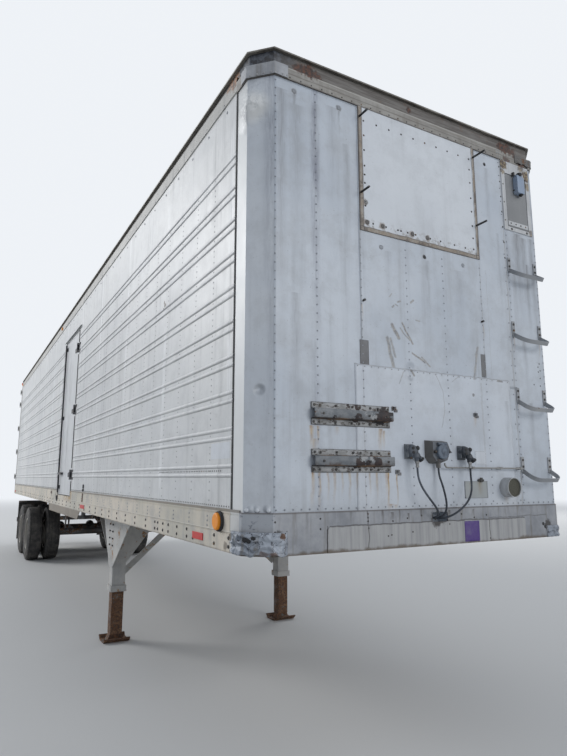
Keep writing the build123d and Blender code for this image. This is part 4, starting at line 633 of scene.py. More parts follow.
def nose_rail_layers(s):
    """The nose rail's recess, darkest at the curb side and partly painted shade under the roof's edge, a
    painted highlight along the lip's top, and rust in places along it.
    """
    x, z = s.axis(0), s.axis(2)
    streaks = s.noise((5, 5, 60), 6, 0.65)
    # The recess's brown to near-black tone is partly its own dirty colour, partly painted shade under the
    # roof's edge
    brown = s.mix(s.rise(streaks, 0.36, 0.64), (0.165, 0.155, 0.145), (0.085, 0.075, 0.068))
    dark = s.mix(s.patches(0.42, 0.60, 22, 6, 0.7), (0.020, 0.021, 0.026), (0.085, 0.095, 0.115))
    web = s.mix(s.rise(s.plus(x, s.times(s.noise(7, 5), 0.35)), -0.70, -0.98), brown, dark)
    web = s.mix(s.times(s.patches(0.58, 0.66, 14, 7, 0.75), 0.8), web, (0.13, 0.075, 0.05))
    s.lay((0.20, 0.185, 0.165), s.rise(streaks, 0.50, 0.66))
    # A lighter strip along the top of the lip: painted highlight
    s.lay((0.40, 0.39, 0.36), s.rise(s.wobbly(2, 20, 0.010), RAIL + 2.752, RAIL + 2.764), 0.7)
    s.lay(web, s.rise(z, RAIL + 2.764, RAIL + 2.768))
    foot = s.rise(s.wobbly(2, 20, 0.016), RAIL + 2.700, RAIL + 2.690)
    s.lay((0.06, 0.05, 0.045), foot, 0.75)
    ledge = s.between(s.wobbly(2, 20, 0.006), RAIL + 2.724, RAIL + 2.731, 0.002)
    s.lay((0.09, 0.08, 0.07), ledge, 0.5)
    rust = blotches(s, ((-0.86, 2.800, 0.060, 1.0), (-0.92, 2.800, 0.050, 0.9), (-0.80, 2.795, 0.040, 0.9),
                        (0.82, 2.800, 0.060, 1.0), (0.88, 2.805, 0.060, 0.9), (0.93, 2.79, 0.05, 0.8),
                        (-0.07, 2.815, 0.025, 0.9), (0.84, 2.70, 0.04, 0.8), (1.00, 2.71, 0.05, 0.9)))
    s.lay(s.mix(s.patches(0.4, 0.6, 50, 5), (0.020, 0.013, 0.012), (0.095, 0.034, 0.017)), rust)


def side_rail_layers(s):
    """The side rails' recess is painted near black as shade under the roof's edge, with rust near the nose.
    """
    z = s.axis(2)
    # Near black in the recess: painted shade under the roof's edge
    dark = s.mix(s.noise(8, 6), (0.045, 0.036, 0.030), (0.020, 0.018, 0.017))
    s.lay(dark, s.rise(z, RAIL + 2.799, RAIL + 2.802))
    rust = blotches(s, ((0.30, 2.80, 0.07, 1.0), (0.38, 2.82, 0.06, 0.9), (0.22, 2.79, 0.04, 0.8),
                        (7.1, 2.84, 0.1, 0.8)), side=True)
    s.lay(s.mix(s.patches(0.4, 0.6, 40, 5), RUST_DARK, (0.36, 0.17, 0.08)), rust)


def joint_lines(s):
    """Lapped joints between the outer sheets along the trailer."""
    away = s.off_lines(1, NOSE + JOINT_FIRST, JOINT_PITCH)
    outer = s.rise(s.size(s.axis(0)), HALF - 0.030, HALF - 0.020)
    worn = s.times(s.patches(0.40, 0.60, (2, 2, 1.4), 6, 0.65), outer)
    s.lay((0.84, 0.85, 0.86), s.rise(away, 0.045, 0.006), worn, 0.65)
    s.lay(GREY_DIRT, s.rise(away, 0.0035, 0.001), outer, 0.38)


def side_layers(s):
    """Sheet joints, painted shade under the beads and two small wounds of the side skins."""
    joint_lines(s)
    # Each sheet has a tone of its own, scattered by its number
    sheet = s.math("FLOOR", s.over(s.minus(s.axis(1), NOSE + JOINT_FIRST), JOINT_PITCH))
    tone = s.math("FRACT", s.times(s.math("SINE", s.times(sheet, 12.9898)), 43.7585))
    s.lay(GREY_DIRT, tone, 0.12)
    # A grey line under each bead, along its lower flank: painted shade
    base = RAIL + BEAD_FIRST - BEAD_SPREAD / 2 - BEAD_HALF
    up = s.wrapped(s.minus(s.axis(2), base), BEAD_PITCH)
    low_edges = s.most(s.between(up, 0.0, 0.007, 0.003),
                       s.between(up, BEAD_SPREAD, BEAD_SPREAD + 0.007, 0.003))
    beaded = s.between(s.axis(2), base - 0.01, base + BEAD_PAIRS * BEAD_PITCH - 0.05, 0.004)
    darkening = s.times(s.times(low_edges, beaded), s.patches(0.3, 0.62, 2.0, 6))
    s.lay((0.26, 0.26, 0.265), darkening, 0.55)
    wounds = blotches(s, ((1.585, 1.705, 0.030, 1.0), (4.52, 0.26, 0.035, 0.7), (1.60, 1.735, 0.018, 1.0)),
                      side=True)
    s.lay((0.08, 0.065, 0.055), wounds)
    foot = s.rise(s.wobbly(2, 6, 0.02), RAIL + BAND_H + 0.016, RAIL + BAND_H + 0.004)
    s.lay((0.22, 0.20, 0.17), foot, 0.6)


def cream_layers(s):
    """Dark wounds and stains along the bottom rails, painted shade lines at their ledge and top edge with a
    painted highlight by the ledge, and the joint at the corner posts' end.
    """
    marks = ((0.10, 0.075, 0.045, 0.9), (0.18, 0.060, 0.040, 0.8), (0.25, 0.085, 0.03, 0.8),
             (0.06, 0.05, 0.04, 0.9), (7.05, 0.17, 0.06, 0.6), (6.6, 0.13, 0.06, 0.7),
             (6.4, 0.12, 0.05, 0.6), (5.3, 0.15, 0.04, 0.4), (7.3, -0.02, 0.09, 0.5),
             (4.6, -0.04, 0.06, 0.5), (0.32, 0.03, 0.03, 0.7))
    y, z = s.axis(1), s.axis(2)
    corner = s.mix(s.patches(0.4, 0.66, 4, 6, 0.65), (0.60, 0.60, 0.585), (0.43, 0.43, 0.43))
    s.lay(corner, s.rise(y, NOSE + POST_END + 0.001, NOSE + POST_END - 0.001))
    sill = s.times(s.rise(s.wobbly(2, 14, 0.05), RAIL + 0.070, RAIL + 0.130),
                   s.between(y, NOSE + 5.28, NOSE + 5.85, 0.1))
    s.lay((0.36, 0.235, 0.10), sill, s.patches(0.35, 0.6, 20, 5))
    s.lay((0.10, 0.075, 0.055), blotches(s, marks, side=True))
    # Dark lines at the ledge and along the top edge are painted shade; the line at the corner posts' end is a
    # joint
    lines = s.most(s.between(z, RAIL + RAIL_LEDGE - 0.002, RAIL + RAIL_LEDGE, 0.001),
                   s.rise(z, RAIL + BAND_H - 0.006, RAIL + BAND_H - 0.002),
                   s.between(y, NOSE + POST_END - 0.003, NOSE + POST_END + 0.003, 0.001))
    s.lay((0.13, 0.11, 0.085), lines, 0.75)
    # A light line just above the ledge: painted highlight
    s.lay((0.74, 0.71, 0.64), s.between(z, RAIL + RAIL_LEDGE + 0.001, RAIL + RAIL_LEDGE + 0.006, 0.001), 0.5)
    edge = s.times(s.rise(s.wobbly(2, 14, 0.02), RAIL + 0.012, RAIL - 0.004), 0.8)
    s.lay((0.14, 0.11, 0.08), edge)


def band_layers(s):
    """Lighter pick-up plate, a dark mark round the hose hole, partly stain and partly painted shade in its
    torn hole, a seam on the nose band, and a painted shadow along the band's top.
    """
    y, z = s.axis(1), s.axis(2)
    plate = s.mix(s.patches(0.38, 0.68, (26, 26, 1.6), 5, 0.6), (0.40, 0.40, 0.395), (0.27, 0.27, 0.275))
    s.lay(plate, s.rise(y, NOSE - 0.002, NOSE - 0.003), 0.85)
    corner = s.rise(s.axis(0), -1.085, -1.097)
    painted_corner = s.times(corner, s.rise(s.wobbly(2, 12, 0.05), RAIL + 0.12, RAIL + 0.15))
    s.lay((0.42, 0.45, 0.49), painted_corner, 0.4)
    scraped = s.times(corner, s.patches(0.56, 0.62, (18, 18, 40), 7, 0.75))
    s.lay((0.10, 0.11, 0.135), scraped, 0.7)
    # Dark marks, partly stains, partly painted shade in the torn hole round the hoses, in the hole at the
    # road corner and under its bent-up foot
    stain = blotches(s, ((0.0, 0.150, 0.050, 0.95), (0.05, 0.158, 0.045, 0.9), (-0.02, 0.125, 0.025, 0.7),
                         (-1.06, 0.10, 0.035, 0.8), (1.00, 0.08, 0.04, 0.9), (1.05, 0.02, 0.05, 0.8)))
    s.lay((0.045, 0.040, 0.038), stain)
    seams = strokes(s, ((0.44, 0.134, 0.443, 0.002, 0.005, 0.8), (-0.505, 0.21, -0.505, 0.02, 0.005, 0.7),
                        (-0.76, 0.137, 0.77, 0.137, 0.005, 0.7), (0.44, 0.146, 0.99, 0.146, 0.004, 0.5),
                        (-1.02, 0.12, -1.02, 0.01, 0.005, 0.6), (-0.775, 0.14, -0.775, 0.0, 0.004, 0.7)))
    s.lay((0.07, 0.065, 0.065), seams)
    runs = drips(s, ((-0.40, 0.213, 0.09, 0.012, 1.0), (-0.335, 0.20, 0.06, 0.016, 1.0),
                     (-0.28, 0.21, 0.08, 0.008, 0.9), (-0.21, 0.19, 0.05, 0.012, 1.0),
                     (-0.12, 0.213, 0.07, 0.010, 0.9), (0.11, 0.20, 0.07, 0.014, 0.9),
                     (0.19, 0.213, 0.06, 0.010, 0.8), (0.31, 0.20, 0.06, 0.012, 0.8),
                     (-0.62, 0.21, 0.08, 0.012, 0.5), (-0.90, 0.213, 0.16, 0.014, 0.5),
                     (0.62, 0.21, 0.07, 0.016, 0.35), (0.85, 0.21, 0.10, 0.02, 0.35)))
    s.lay((0.075, 0.065, 0.060), runs)
    foot = s.times(s.rise(s.wobbly(2, 16, 0.045), RAIL + 0.022, RAIL + 0.002), 0.85)
    s.lay((0.105, 0.080, 0.055), foot)
    # A dark strip along the band's top, under the nose skin's lower edge: painted shadow
    s.lay((0.10, 0.09, 0.085), s.rise(z, RAIL + 0.203, RAIL + 0.213), 0.75)


def torn_layers(s):
    """Rust at the torn corner's head and along its foot, and dark creases."""
    rust = blotches(s, ((-1.048, 0.100, 0.020, 1.0), (-1.10, 0.012, 0.020, 0.8), (-1.14, 0.008, 0.022, 0.7)))
    s.lay((0.10, 0.055, 0.035), rust)
    crease = s.rise(s.size(s.minus(s.noise(17, 3, 0.5), 0.5)), 0.018, 0.004)
    s.lay((0.035, 0.035, 0.045), crease, 0.8)


def vent_layers(s):
    """Dark woven mesh in the vent tube's mouth."""
    away = s.vector("DISTANCE", s.stretched(1, 0, 1), (VENT_X, 0, RAIL + VENT_Z))
    warp = s.math("SINE", s.times(s.axis(0), 2400.0))
    weft = s.math("SINE", s.times(s.axis(2), 2400.0))
    wire = s.rise(s.most(warp, weft), 0.2, 0.9)
    mesh = s.mix(wire, (0.012, 0.012, 0.010), (0.105, 0.100, 0.070))
    s.lay(mesh, s.rise(away, MESH_R + 0.0006, MESH_R))


def socket_layers(s):
    """Bluish lid in front of the receptacle's grey housing."""
    lid = s.mix(s.patches(0.4, 0.65, 30, 5), (0.13, 0.16, 0.20), (0.075, 0.09, 0.115))
    s.lay(lid, s.rise(s.axis(1), NOSE - 0.054, NOSE - 0.056))


def plate_layers(s):
    """Dark rims and a rusty run down the bare plate."""
    x, z = s.wobbly(0, 20, 0.006), s.axis(2)
    rims = s.most(s.rise(x, 0.253, 0.249), s.rise(x, 0.440, 0.444), s.rise(z, RAIL + 0.270, RAIL + 0.266),
                  s.rise(z, RAIL + 0.366, RAIL + 0.370))
    s.lay((0.10, 0.11, 0.13), rims, 0.6)
    run = drips(s, ((0.385, 0.375, 0.10, 0.028, 1.0), (0.30, 0.36, 0.07, 0.02, 0.5)))
    s.lay((0.24, 0.19, 0.12), run)


def frame_layers(s):
    """White paint on the drip rail above the side door."""
    s.lay((0.56, 0.565, 0.56), s.rise(s.axis(2), RAIL + DOOR_HIGH.z + 0.006, RAIL + DOOR_HIGH.z + 0.010))


def roof_layers(s):
    """The roof's seams with their rows of rivets, and worn stripes along its edges."""
    seam, rivet = s.off_lines(1, NOSE + JOINT_FIRST, JOINT_PITCH), s.off_lines(0, 0, 0.06)
    s.lay((0.34, 0.325, 0.29), s.rise(seam, 0.040, 0.010), 0.45)
    s.lay((0.045, 0.04, 0.035), s.rise(seam, 0.004, 0.0015), 0.8)
    rivets = s.math("SQRT", s.plus(s.math("POWER", s.minus(seam, 0.018), 2), s.math("POWER", rivet, 2)))
    s.lay((0.40, 0.39, 0.36), s.rise(rivets, 0.0065, 0.0045), 0.8)
    edge = s.rise(s.size(s.axis(0)), HALF - 0.055, HALF - 0.045)
    s.lay((0.30, 0.285, 0.25), edge, 0.5)


def floor_grooves(s):
    """Dark grooves between the floor's ribs."""
    groove = s.rise(s.size(s.math("SINE", s.times(s.axis(0), 100.0))), 0.35, 0.15)
    s.lay((0.05, 0.048, 0.045), groove, 0.7)


def wheel_finish(axle):
    """Painted rim and disc, rusty hub and drum, told apart by their distance from the axle."""
    low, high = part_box(f"wheel_{axle}_road")
    middle = (low + high) / 2

    def layers(s):
        away = s.vector("DISTANCE", s.stretched(0, 1, 1), (0, middle.y, middle.z))
        hub = s.mix(s.patches(0.4, 0.6, 20, 6), (0.07, 0.055, 0.045), (0.17, 0.11, 0.07))
        s.lay(hub, s.rise(away, 0.128, 0.122))
        s.lay((0.22, 0.215, 0.20), s.rise(away, 0.062, 0.058))
        dusty = s.times(s.rise(away, 0.16, 0.27), 0.45)
        s.lay((0.20, 0.17, 0.13), dusty)

    return painted(f"wheel_{axle}", (0.50, 0.49, 0.46), (0.36, 0.35, 0.32), grime=0.6, streak=0.3, rust=0.5,
                   rough=0.6, wave=0.001, layers=layers)


white_skin = painted("white_nose", wave=0.004)
# The nose's sheets: across from, to, up from, to, how far out in sheets, and the look
NOSE_SHEETS = {
    "nose_sheet_curb": (-FLAT_X, -0.505, BAND_H - 0.02, NOSE_LIP, 1.0,
                        dict(low_dirt=(0.5, 0.05, 0.16), wave=0.005)),
    "nose_sheet_middle": (-0.52, 0.785, OVERLAY_TOP - 0.05, NOSE_LIP, 2.0, dict(wave=0.005)),
    "nose_sheet_road": (0.77, FLAT_X, BAND_H - 0.02, NOSE_LIP, 1.0,
                        dict(low_dirt=(0.5, 0.05, 0.16), wave=0.005)),
    "nose_overlay": (OVERLAY_LEFT, OVERLAY_RIGHT, BAND_H - 0.02, OVERLAY_TOP, 3.2,
                     dict(base=(0.625, 0.66, 0.705), cool=(0.54, 0.58, 0.635), grime=0.3, streak=0.35,
                          low_dirt=(0.42, 0.1, 0.22), wave=0.006)),
    "nose_sheet_foot": (0.70, 0.785, BAND_H - 0.02, OVERLAY_TOP - 0.05, 2.0,
                        dict(low_dirt=(0.5, 0.05, 0.16), wave=0.005)),
}
blank_skin = painted("blank_panel", (0.655, 0.685, 0.72), (0.58, 0.61, 0.65), grime=0.25, streak=0.35,
                     wave=0.003, layers=blank_layers)
panel_skin = painted("corner_panel", (0.60, 0.61, 0.62), (0.47, 0.48, 0.49), grime=0.5, streak=0.7,
                     wave=0.002, layers=corner_layers)
corner_skin = painted("white_corner", (0.62, 0.65, 0.685), (0.53, 0.565, 0.61), grime=0.3, streak=0.35,
                      wave=0.006, dents=NOSE_DENTS[:6], layers=post_layers)
side_skin = painted("white_side", (0.66, 0.665, 0.66), (0.585, 0.595, 0.60), grime=0.28, streak=0.5,
                    wave=0.006, layers=side_layers)
door_skin = painted("door_skin", (0.62, 0.63, 0.64), (0.54, 0.55, 0.56), grime=0.3, streak=0.5, wave=0.003)
label_white = painted("label_white", (0.66, 0.685, 0.72), (0.60, 0.63, 0.67), grime=0.3, streak=0.3,
                      wave=0.0005)
cream_paint = painted("cream_rail", CREAM, (0.52, 0.49, 0.41), grime=0.6, streak=0.6, rust=0.28, rough=0.55,
                      wave=0.002, layers=cream_layers)
rear_paint = painted("rear_frame", (0.53, 0.53, 0.51), (0.41, 0.41, 0.40), grime=0.6, streak=0.6, rust=0.45,
                     rough=0.5, wave=0.002)
top_metal = bare_metal("nose_rail", (0.31, 0.30, 0.28), (0.20, 0.19, 0.175), stain=0.7, rust=0.12,
                       metallic=0.15, layers=nose_rail_layers)
side_rail = painted("side_rail", (0.50, 0.49, 0.455), (0.40, 0.39, 0.365), grime=0.5, streak=0.5, rust=0.2,
                    rough=0.55, wave=0.002, layers=side_rail_layers)
band_metal = bare_metal("nose_band", (0.335, 0.345, 0.365), (0.22, 0.23, 0.25), stain=0.75, rust=0.05,
                        metallic=0.2, layers=band_layers)
roof_metal = bare_metal("roof", (0.22, 0.205, 0.18), (0.08, 0.07, 0.06), stain=0.5, metallic=0.2,
                        layers=roof_layers)
floor_metal = bare_metal("floor", (0.38, 0.37, 0.35), (0.2, 0.19, 0.18), stain=0.5, metallic=0.4,
                         layers=floor_grooves)
zinc = bare_metal("zinc", (0.33, 0.33, 0.33), (0.16, 0.155, 0.15), stain=0.5, rust=0.3, metallic=0.5)
bright_metal = bare_metal("torn_metal", (0.40, 0.435, 0.485), (0.13, 0.15, 0.185), stain=0.8, rust=0.10,
                          metallic=0.25, layers=torn_layers)
vent_metal = bare_metal("vent", (0.50, 0.51, 0.52), (0.26, 0.26, 0.26), stain=0.7, rust=0.25, metallic=0.2,
                        layers=vent_layers)
chassis = rusted("chassis", (0.055, 0.053, 0.05), 0.42)
white_steel = painted("white_steel", (0.56, 0.55, 0.52), (0.42, 0.41, 0.39), grime=0.6, streak=0.65,
                      rust=0.75, rough=0.55, wave=0.001)
rust_steel = rusted("rust_steel", (0.15, 0.14, 0.13), 0.75, light=(0.22, 0.12, 0.065))
hat_steel = rusted("hat_steel", (0.185, 0.195, 0.205), 0.20, light=(0.12, 0.07, 0.045),
                   left=(0.25, 0.26, 0.27), layers=hat_layers)
step_steel = rusted("step_steel", (0.27, 0.28, 0.295), 0.20, light=(0.17, 0.11, 0.07),
                    left=(0.36, 0.365, 0.37))
tyre_black = rubber("tyre", (0.035, 0.034, 0.034), (0.17, 0.155, 0.135))
hose_black = rubber("hose", (0.036, 0.041, 0.050), (0.17, 0.19, 0.225))
flap_black = rubber("flap", (0.03, 0.03, 0.03), (0.16, 0.14, 0.11))
gasket_black = rubber("gasket", (0.020, 0.020, 0.022), (0.085, 0.085, 0.085), 0.5)
front_wheel, rear_wheel = wheel_finish("front"), wheel_finish("rear")
dark_casting = rusted("dark_casting", (0.026, 0.031, 0.040), 0.12, rough=0.6, left=(0.11, 0.125, 0.15),
                      scale=20.0)
socket_casting = rusted("socket_casting", (0.125, 0.120, 0.115), 0.16, left=(0.185, 0.18, 0.175), scale=14.0,
                        layers=socket_layers)
door_iron = rusted("door_iron", (0.035, 0.036, 0.040), 0.25, left=(0.075, 0.078, 0.085))
pipe_grey = painted("pipe_grey", (0.33, 0.32, 0.30), (0.24, 0.23, 0.215), grime=0.5, streak=0.3, wave=0.001)
# Darker than the skins: partly dirt on the rivets, partly painted shade of their small shadows
rivet_grey = painted("rivet_grey", (0.29, 0.31, 0.34), (0.20, 0.215, 0.24), grime=0.4, streak=0.2, wave=0.001)
rivet_pale = painted("rivet_pale", (0.34, 0.345, 0.35), (0.27, 0.275, 0.28), grime=0.4, streak=0.2,
                     wave=0.001)
bolt_dark = rusted("bolt_dark", (0.035, 0.033, 0.032), 0.35, left=(0.07, 0.065, 0.06), scale=30.0)
tape_grey = painted("tape_grey", (0.165, 0.165, 0.17), (0.115, 0.115, 0.12), grime=0.4, streak=0.3, rough=0.6)
bare_plate = painted("bare_plate", (0.42, 0.45, 0.455), (0.33, 0.345, 0.34), grime=0.6, streak=0.4, rough=0.5,
                     wave=0.001, layers=plate_layers)
lug_steel = rusted("lug_steel", (0.13, 0.13, 0.135), 0.42, light=(0.10, 0.055, 0.035),
                   left=(0.20, 0.20, 0.205), scale=18.0)
sticker_purple = painted("sticker_purple", (0.075, 0.028, 0.215), (0.055, 0.022, 0.165), grime=0.3,
                         streak=0.2, rough=0.5, wave=0.0005)
amber = lens("amber", (0.90, 0.29, 0.002), dust=0.06)
red = lens("red", (0.56, 0.022, 0.018), dust=0.08)
lid_grey = painted("lid_grey", (0.235, 0.24, 0.245), (0.165, 0.17, 0.175), grime=0.4, streak=0.5, wave=0.002)
lamp_grey = painted("device_grey", (0.30, 0.38, 0.50), (0.20, 0.26, 0.36), grime=0.4, streak=0.4, wave=0.001)
cap_metal = bare_metal("rail_cap", (0.42, 0.43, 0.45), (0.27, 0.28, 0.30), stain=0.6, rust=0.05, metallic=0.2)
cap_rusty = rusted("rail_cap_rusty", (0.10, 0.095, 0.09), 0.32, light=(0.17, 0.09, 0.045),
                   left=(0.25, 0.245, 0.235), scale=12.0)
frame_iron = rusted("door_frame", (0.035, 0.036, 0.040), 0.25, left=(0.075, 0.078, 0.085),
                    layers=frame_layers)
cast_pale = rusted("cast_pale", (0.11, 0.12, 0.135), 0.18, left=(0.19, 0.205, 0.22), scale=24.0)

OF_NODE = {name: material for material, names in (
    (chassis, "crossmembers coupler kingpin subframe axles brake_chambers rear_guard flap_brackets"),
    (rust_steel, "landing_feet landing_drive springs"), (white_steel, "landing_legs landing_braces"),
    (side_skin, "side_wall_curb side_wall_road"), (door_skin, "rear_door_curb rear_door_road side_door"),
    (cream_paint, "bottom_rails rail_reinforcement"), (zinc, "rear_hardware_curb rear_hardware_road"),
    (flap_black, "dock_bumpers mud_flaps"), (amber, "marker_lamps"), (red, "reflectors tail_lamps"),
    (front_wheel, "wheel_front_curb wheel_front_road"), (rear_wheel, "wheel_rear_curb wheel_rear_road"),
    (white_skin, "nose_wall"), (corner_skin, "corner_posts"), (band_metal, "nose_band"),
    (top_metal, "nose_top_rail"), (side_rail, "top_rails"), (roof_metal, "roof"), (floor_metal, "floor"),
    (rear_paint, "rear_frame"), (door_iron, "side_door_hardware"), (frame_iron, "side_door_frame"),
    (blank_skin, "unit_blank"), (panel_skin, "corner_panel"), (step_steel, "nose_steps"),
    (hat_steel, "hat_brackets"), (vent_metal, "vent_tube"), (dark_casting, "gladhands"),
    (socket_casting, "receptacle"), (pipe_grey, "conduit"),
    (hose_black, "hose_service hose_emergency receptacle_cable"),
) for name in names.split()}

# A slot name for each material's pieces, unless they name another; piece() looks it up but sets nothing with
# it
SLOT_OF = {material: slot for slot, materials in (
    ("white_skin", (rivet_grey, rivet_pale, tape_grey, bare_plate, label_white, panel_skin, lid_grey,
                    corner_skin)),
    ("dark_steel", (bolt_dark, door_iron)), ("rusty_steel", (hat_steel, lug_steel, cap_rusty, rust_steel)),
    ("galvanised", (zinc,)), ("bare_aluminium", (cap_metal, bright_metal)),
    ("black_rubber", (gasket_black, tyre_black)),
    ("grey_plastic", (sticker_purple, cast_pale, dark_casting, socket_casting, lamp_grey)),
) for material in materials}


def dress_nodes():
    """Every CAD node gets its material; those without one of their own are tyres."""
    for name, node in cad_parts.items():
        node.data.materials.clear()
        node.data.materials.append(OF_NODE.get(name, tyre_black))


def piece(name, vertices, faces, material, body=BODY, slot=None, smooth=False, bevel=0.0):
    """A mesh object from its corners, riding on a body."""
    mesh = bpy.data.meshes.new(name)
    mesh.from_pydata([tuple(v) for v in vertices], [], [tuple(int(i) for i in f) for f in faces])
    mesh.validate()
    mesh.update()
    mesh.materials.append(material)
    made = bpy.data.objects.new(name, mesh)
    bpy.context.scene.collection.objects.link(made)
    if smooth:
        mesh.shade_smooth()
    if bevel:
        edge = made.modifiers.new("bevel", "BEVEL")
        edge.width = bevel
        edge.segments = 2
        edge.limit_method = "ANGLE"
    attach(made, body)
    slot = slot or SLOT_OF.get(material)
    return made


def lattice(count, wide, first=0, closed=False, rings=False):
    """Faces between rows of points. Closed joins the last row to the first, rings each row's ends."""
    faces = []
    for k in range(count if closed else count - 1):
        here, there = first + k * wide, first + (k + 1) % count * wide
        for i in range(wide if rings else wide - 1):
            j = (i + 1) % wide
            faces.append((here + i, here + j, there + j, there + i))
    return faces


def basis(normal):
    """Two directions square to a normal, and the normal itself at length one."""
    n = np.array(normal, float)
    n /= np.linalg.norm(n)
    up = np.array((0, 0, 1.0)) if abs(n[2]) < 0.9 else np.array((1.0, 0, 0))
    a = np.cross(up, n)
    a /= np.linalg.norm(a)
    return a, np.cross(n, a), n


def rays(a, b, sides):
    """Directions that point out round a circle."""
    turns = [2 * math.pi * k / sides for k in range(sides)]
    return [a * math.cos(turn) + b * math.sin(turn) for turn in turns]


DOME = ((1.0, -0.15), (0.96, 0.45), (0.6, 0.9))
HEX_HEAD = ((1.0, -0.15), (1.0, 0.80), (0.86, 1.0))


def domes(name, spots, radius, height, material, normal=FORWARD, sides=8, outline=DOME, smooth=True, **more):
    """Rivet or bolt heads: the same low dome at every spot, facing one way."""
    a, b, n = basis(normal)
    rings = [ray * radius * share + n * rise * height for share, rise in outline for ray in rays(a, b, sides)]
    template = np.array(rings + [n * height])
    faces = lattice(len(outline), sides, rings=True)
    last = (len(outline) - 1) * sides
    faces += [(last + k, last + (k + 1) % sides, last + sides) for k in range(sides)]
    spots = np.array([at(*spot) for spot in spots], float)
    vertices = (spots[:, None, :] + template[None, :, :]).reshape(-1, 3)
    all_faces = [tuple(index * len(template) + i for i in f) for index in range(len(spots)) for f in faces]
    return piece(name, vertices, all_faces, material, smooth=smooth, **more)


def hex_heads(name, spots, radius, height, material, **more):
    """Bolt heads with six flat sides."""
    return domes(name, spots, radius, height, material, sides=6, outline=HEX_HEAD, smooth=False, **more)


def boxes(name, blocks, material, bevel=0.0006, **more):
    """One piece of several blocks, each (x0, x1, y0, y1, z0, z1) in body metres."""
    vertices, faces = [], []
    for x0, x1, y0, y1, z0, z1 in blocks:
        base = len(vertices)
        for z in (z0, z1):
            vertices += [at(x, y, z) for x, y in ((x0, y0), (x1, y0), (x1, y1), (x0, y1))]
        for f in ((3, 2, 1, 0), (4, 5, 6, 7), (0, 1, 5, 4), (1, 2, 6, 5), (2, 3, 7, 6), (3, 0, 4, 7)):
            faces.append(tuple(base + i for i in f))
    return piece(name, vertices, faces, material, bevel=bevel, **more)


def grid_piece(name, rows, material, thick=0.0, **more):
    """A sheet from rows of points, each row as long as the next."""
    vertices = [point for row in rows for point in row]
    made = piece(name, vertices, lattice(len(rows), len(rows[0])), material, smooth=True, **more)
    if thick:
        thickness = made.modifiers.new("thickness", "SOLIDIFY")
        thickness.thickness = thick
        thickness.offset = -1
    return made


def skin_panel(name, x0, x1, z0, z1, y, thick, wave, material, step=0.02, **more):
    """A thin sheet on the nose: a fine grid whose outer face stands up to wave further out in places."""
    nx, nz = max(2, round((x1 - x0) / step)), max(2, round((z1 - z0) / step))
    rows = []
    for k, z in enumerate(np.linspace(z0, z1, nz + 1)):
        row = []
        for i, x in enumerate(np.linspace(x0, x1, nx + 1)):
            near_edge = min(1.0, min(i, nx - i, k, nz - k) / 3)
            swell = noise.fractal(Vector((x * 1.7, z * 1.1, y * 40)), 0.9, 2.1, 3) * 0.5 + 0.35
            row.append(at(x, y - max(0.0, swell) * wave * near_edge, z))
        rows.append(row)
    return grid_piece(name, rows, material, thick, **more)


def turned(name, items, material, sides=20, **more):
    """One piece of several turned shapes, each (origin in body metres, axis, ((radius, along), ...))."""
    vertices, faces = [], []
    for origin, axis, outline in items:
        a, b, n = basis(axis)
        start, first = np.array(at(*origin)), len(vertices)
        for radius, along in outline:
            vertices += [start + n * along + ray * radius for ray in rays(a, b, sides)]
        last = first + (len(outline) - 1) * sides
        faces += lattice(len(outline), sides, first, rings=True)
        faces += [list(range(first, first + sides))[::-1], list(range(last, last + sides))]
    made = piece(name, vertices, faces, material, smooth=True, **more)
    edge = made.modifiers.new("edges", "EDGE_SPLIT")
    edge.split_angle = math.radians(35)
    return made


def ring_piece(name, middle, normal, inner, outer, height, material, sides=28, **more):
    """A raised ring round a middle point, in body metres."""
    a, b, n = basis(normal)
    origin = np.array(at(*middle))
    outline = ((inner, 0.0), (inner, height), ((inner + outer) / 2, height * 1.15), (outer, height * 0.7),
               (outer, 0.0))
    vertices = [origin + ray * radius + n * rise for ray in rays(a, b, sides) for radius, rise in outline]
    faces = lattice(sides, len(outline), closed=True)
    return piece(name, vertices, faces, material, smooth=True, **more)


def crumpled(name, path, z0, z1, seed, depth, material, ragged=0.0, **more):
    """A torn plate that lies along a path of (x, y) points, with folds that stand out from it."""
    path = np.array(path, float)
    lengths = np.concatenate(([0], np.cumsum(np.linalg.norm(np.diff(path, axis=0), axis=1))))

    def on_path(s):
        return np.array([np.interp(s, lengths, path[:, 0]), np.interp(s, lengths, path[:, 1])])

    cell = 0.004
    steps, tall = int(lengths[-1] / cell), int((z1 - z0) / cell)
    rows = []
    for k in range(tall + 1):
        row = []
        for i in range(steps + 1):
            s = lengths[-1] * i / steps
            x, y = on_path(s)
            run = on_path(s + 0.01) - on_path(s - 0.01)
            out = np.array((-run[1], run[0])) / max(1e-9, np.linalg.norm(run))
            if out[1] > 0.2:
                out = -out
            z = z0 + (z1 - z0) * k / tall
            folds = 1 - abs(noise.noise(Vector((s * 13 + seed, z * 24, seed))))
            fine = noise.fractal(Vector((s * 34 + seed, z * 34, 3.0)), 0.8, 2.0, 3)
            edge = min(1.0, min(i, steps - i, tall - k + 1) / 4)
            lift = 0.0015 + edge * max(0.0, depth * (folds**3 * 0.8 + fine * 0.30))
            sag = ragged * noise.noise(Vector((s * 24 + seed, 7.0, 0.0))) * (1 - k / tall)
            row.append(at(x + out[0] * lift, y + out[1] * lift, z + sag))
        rows.append(row)
    return grid_piece(name, rows, material, SHEET, **more)


def spaced(first, last, pitch):
    """Places from first to last, as near the pitch as fits."""
    count = max(1, round(abs(last - first) / pitch))
    return [first + (last - first) * k / count for k in range(count + 1)]


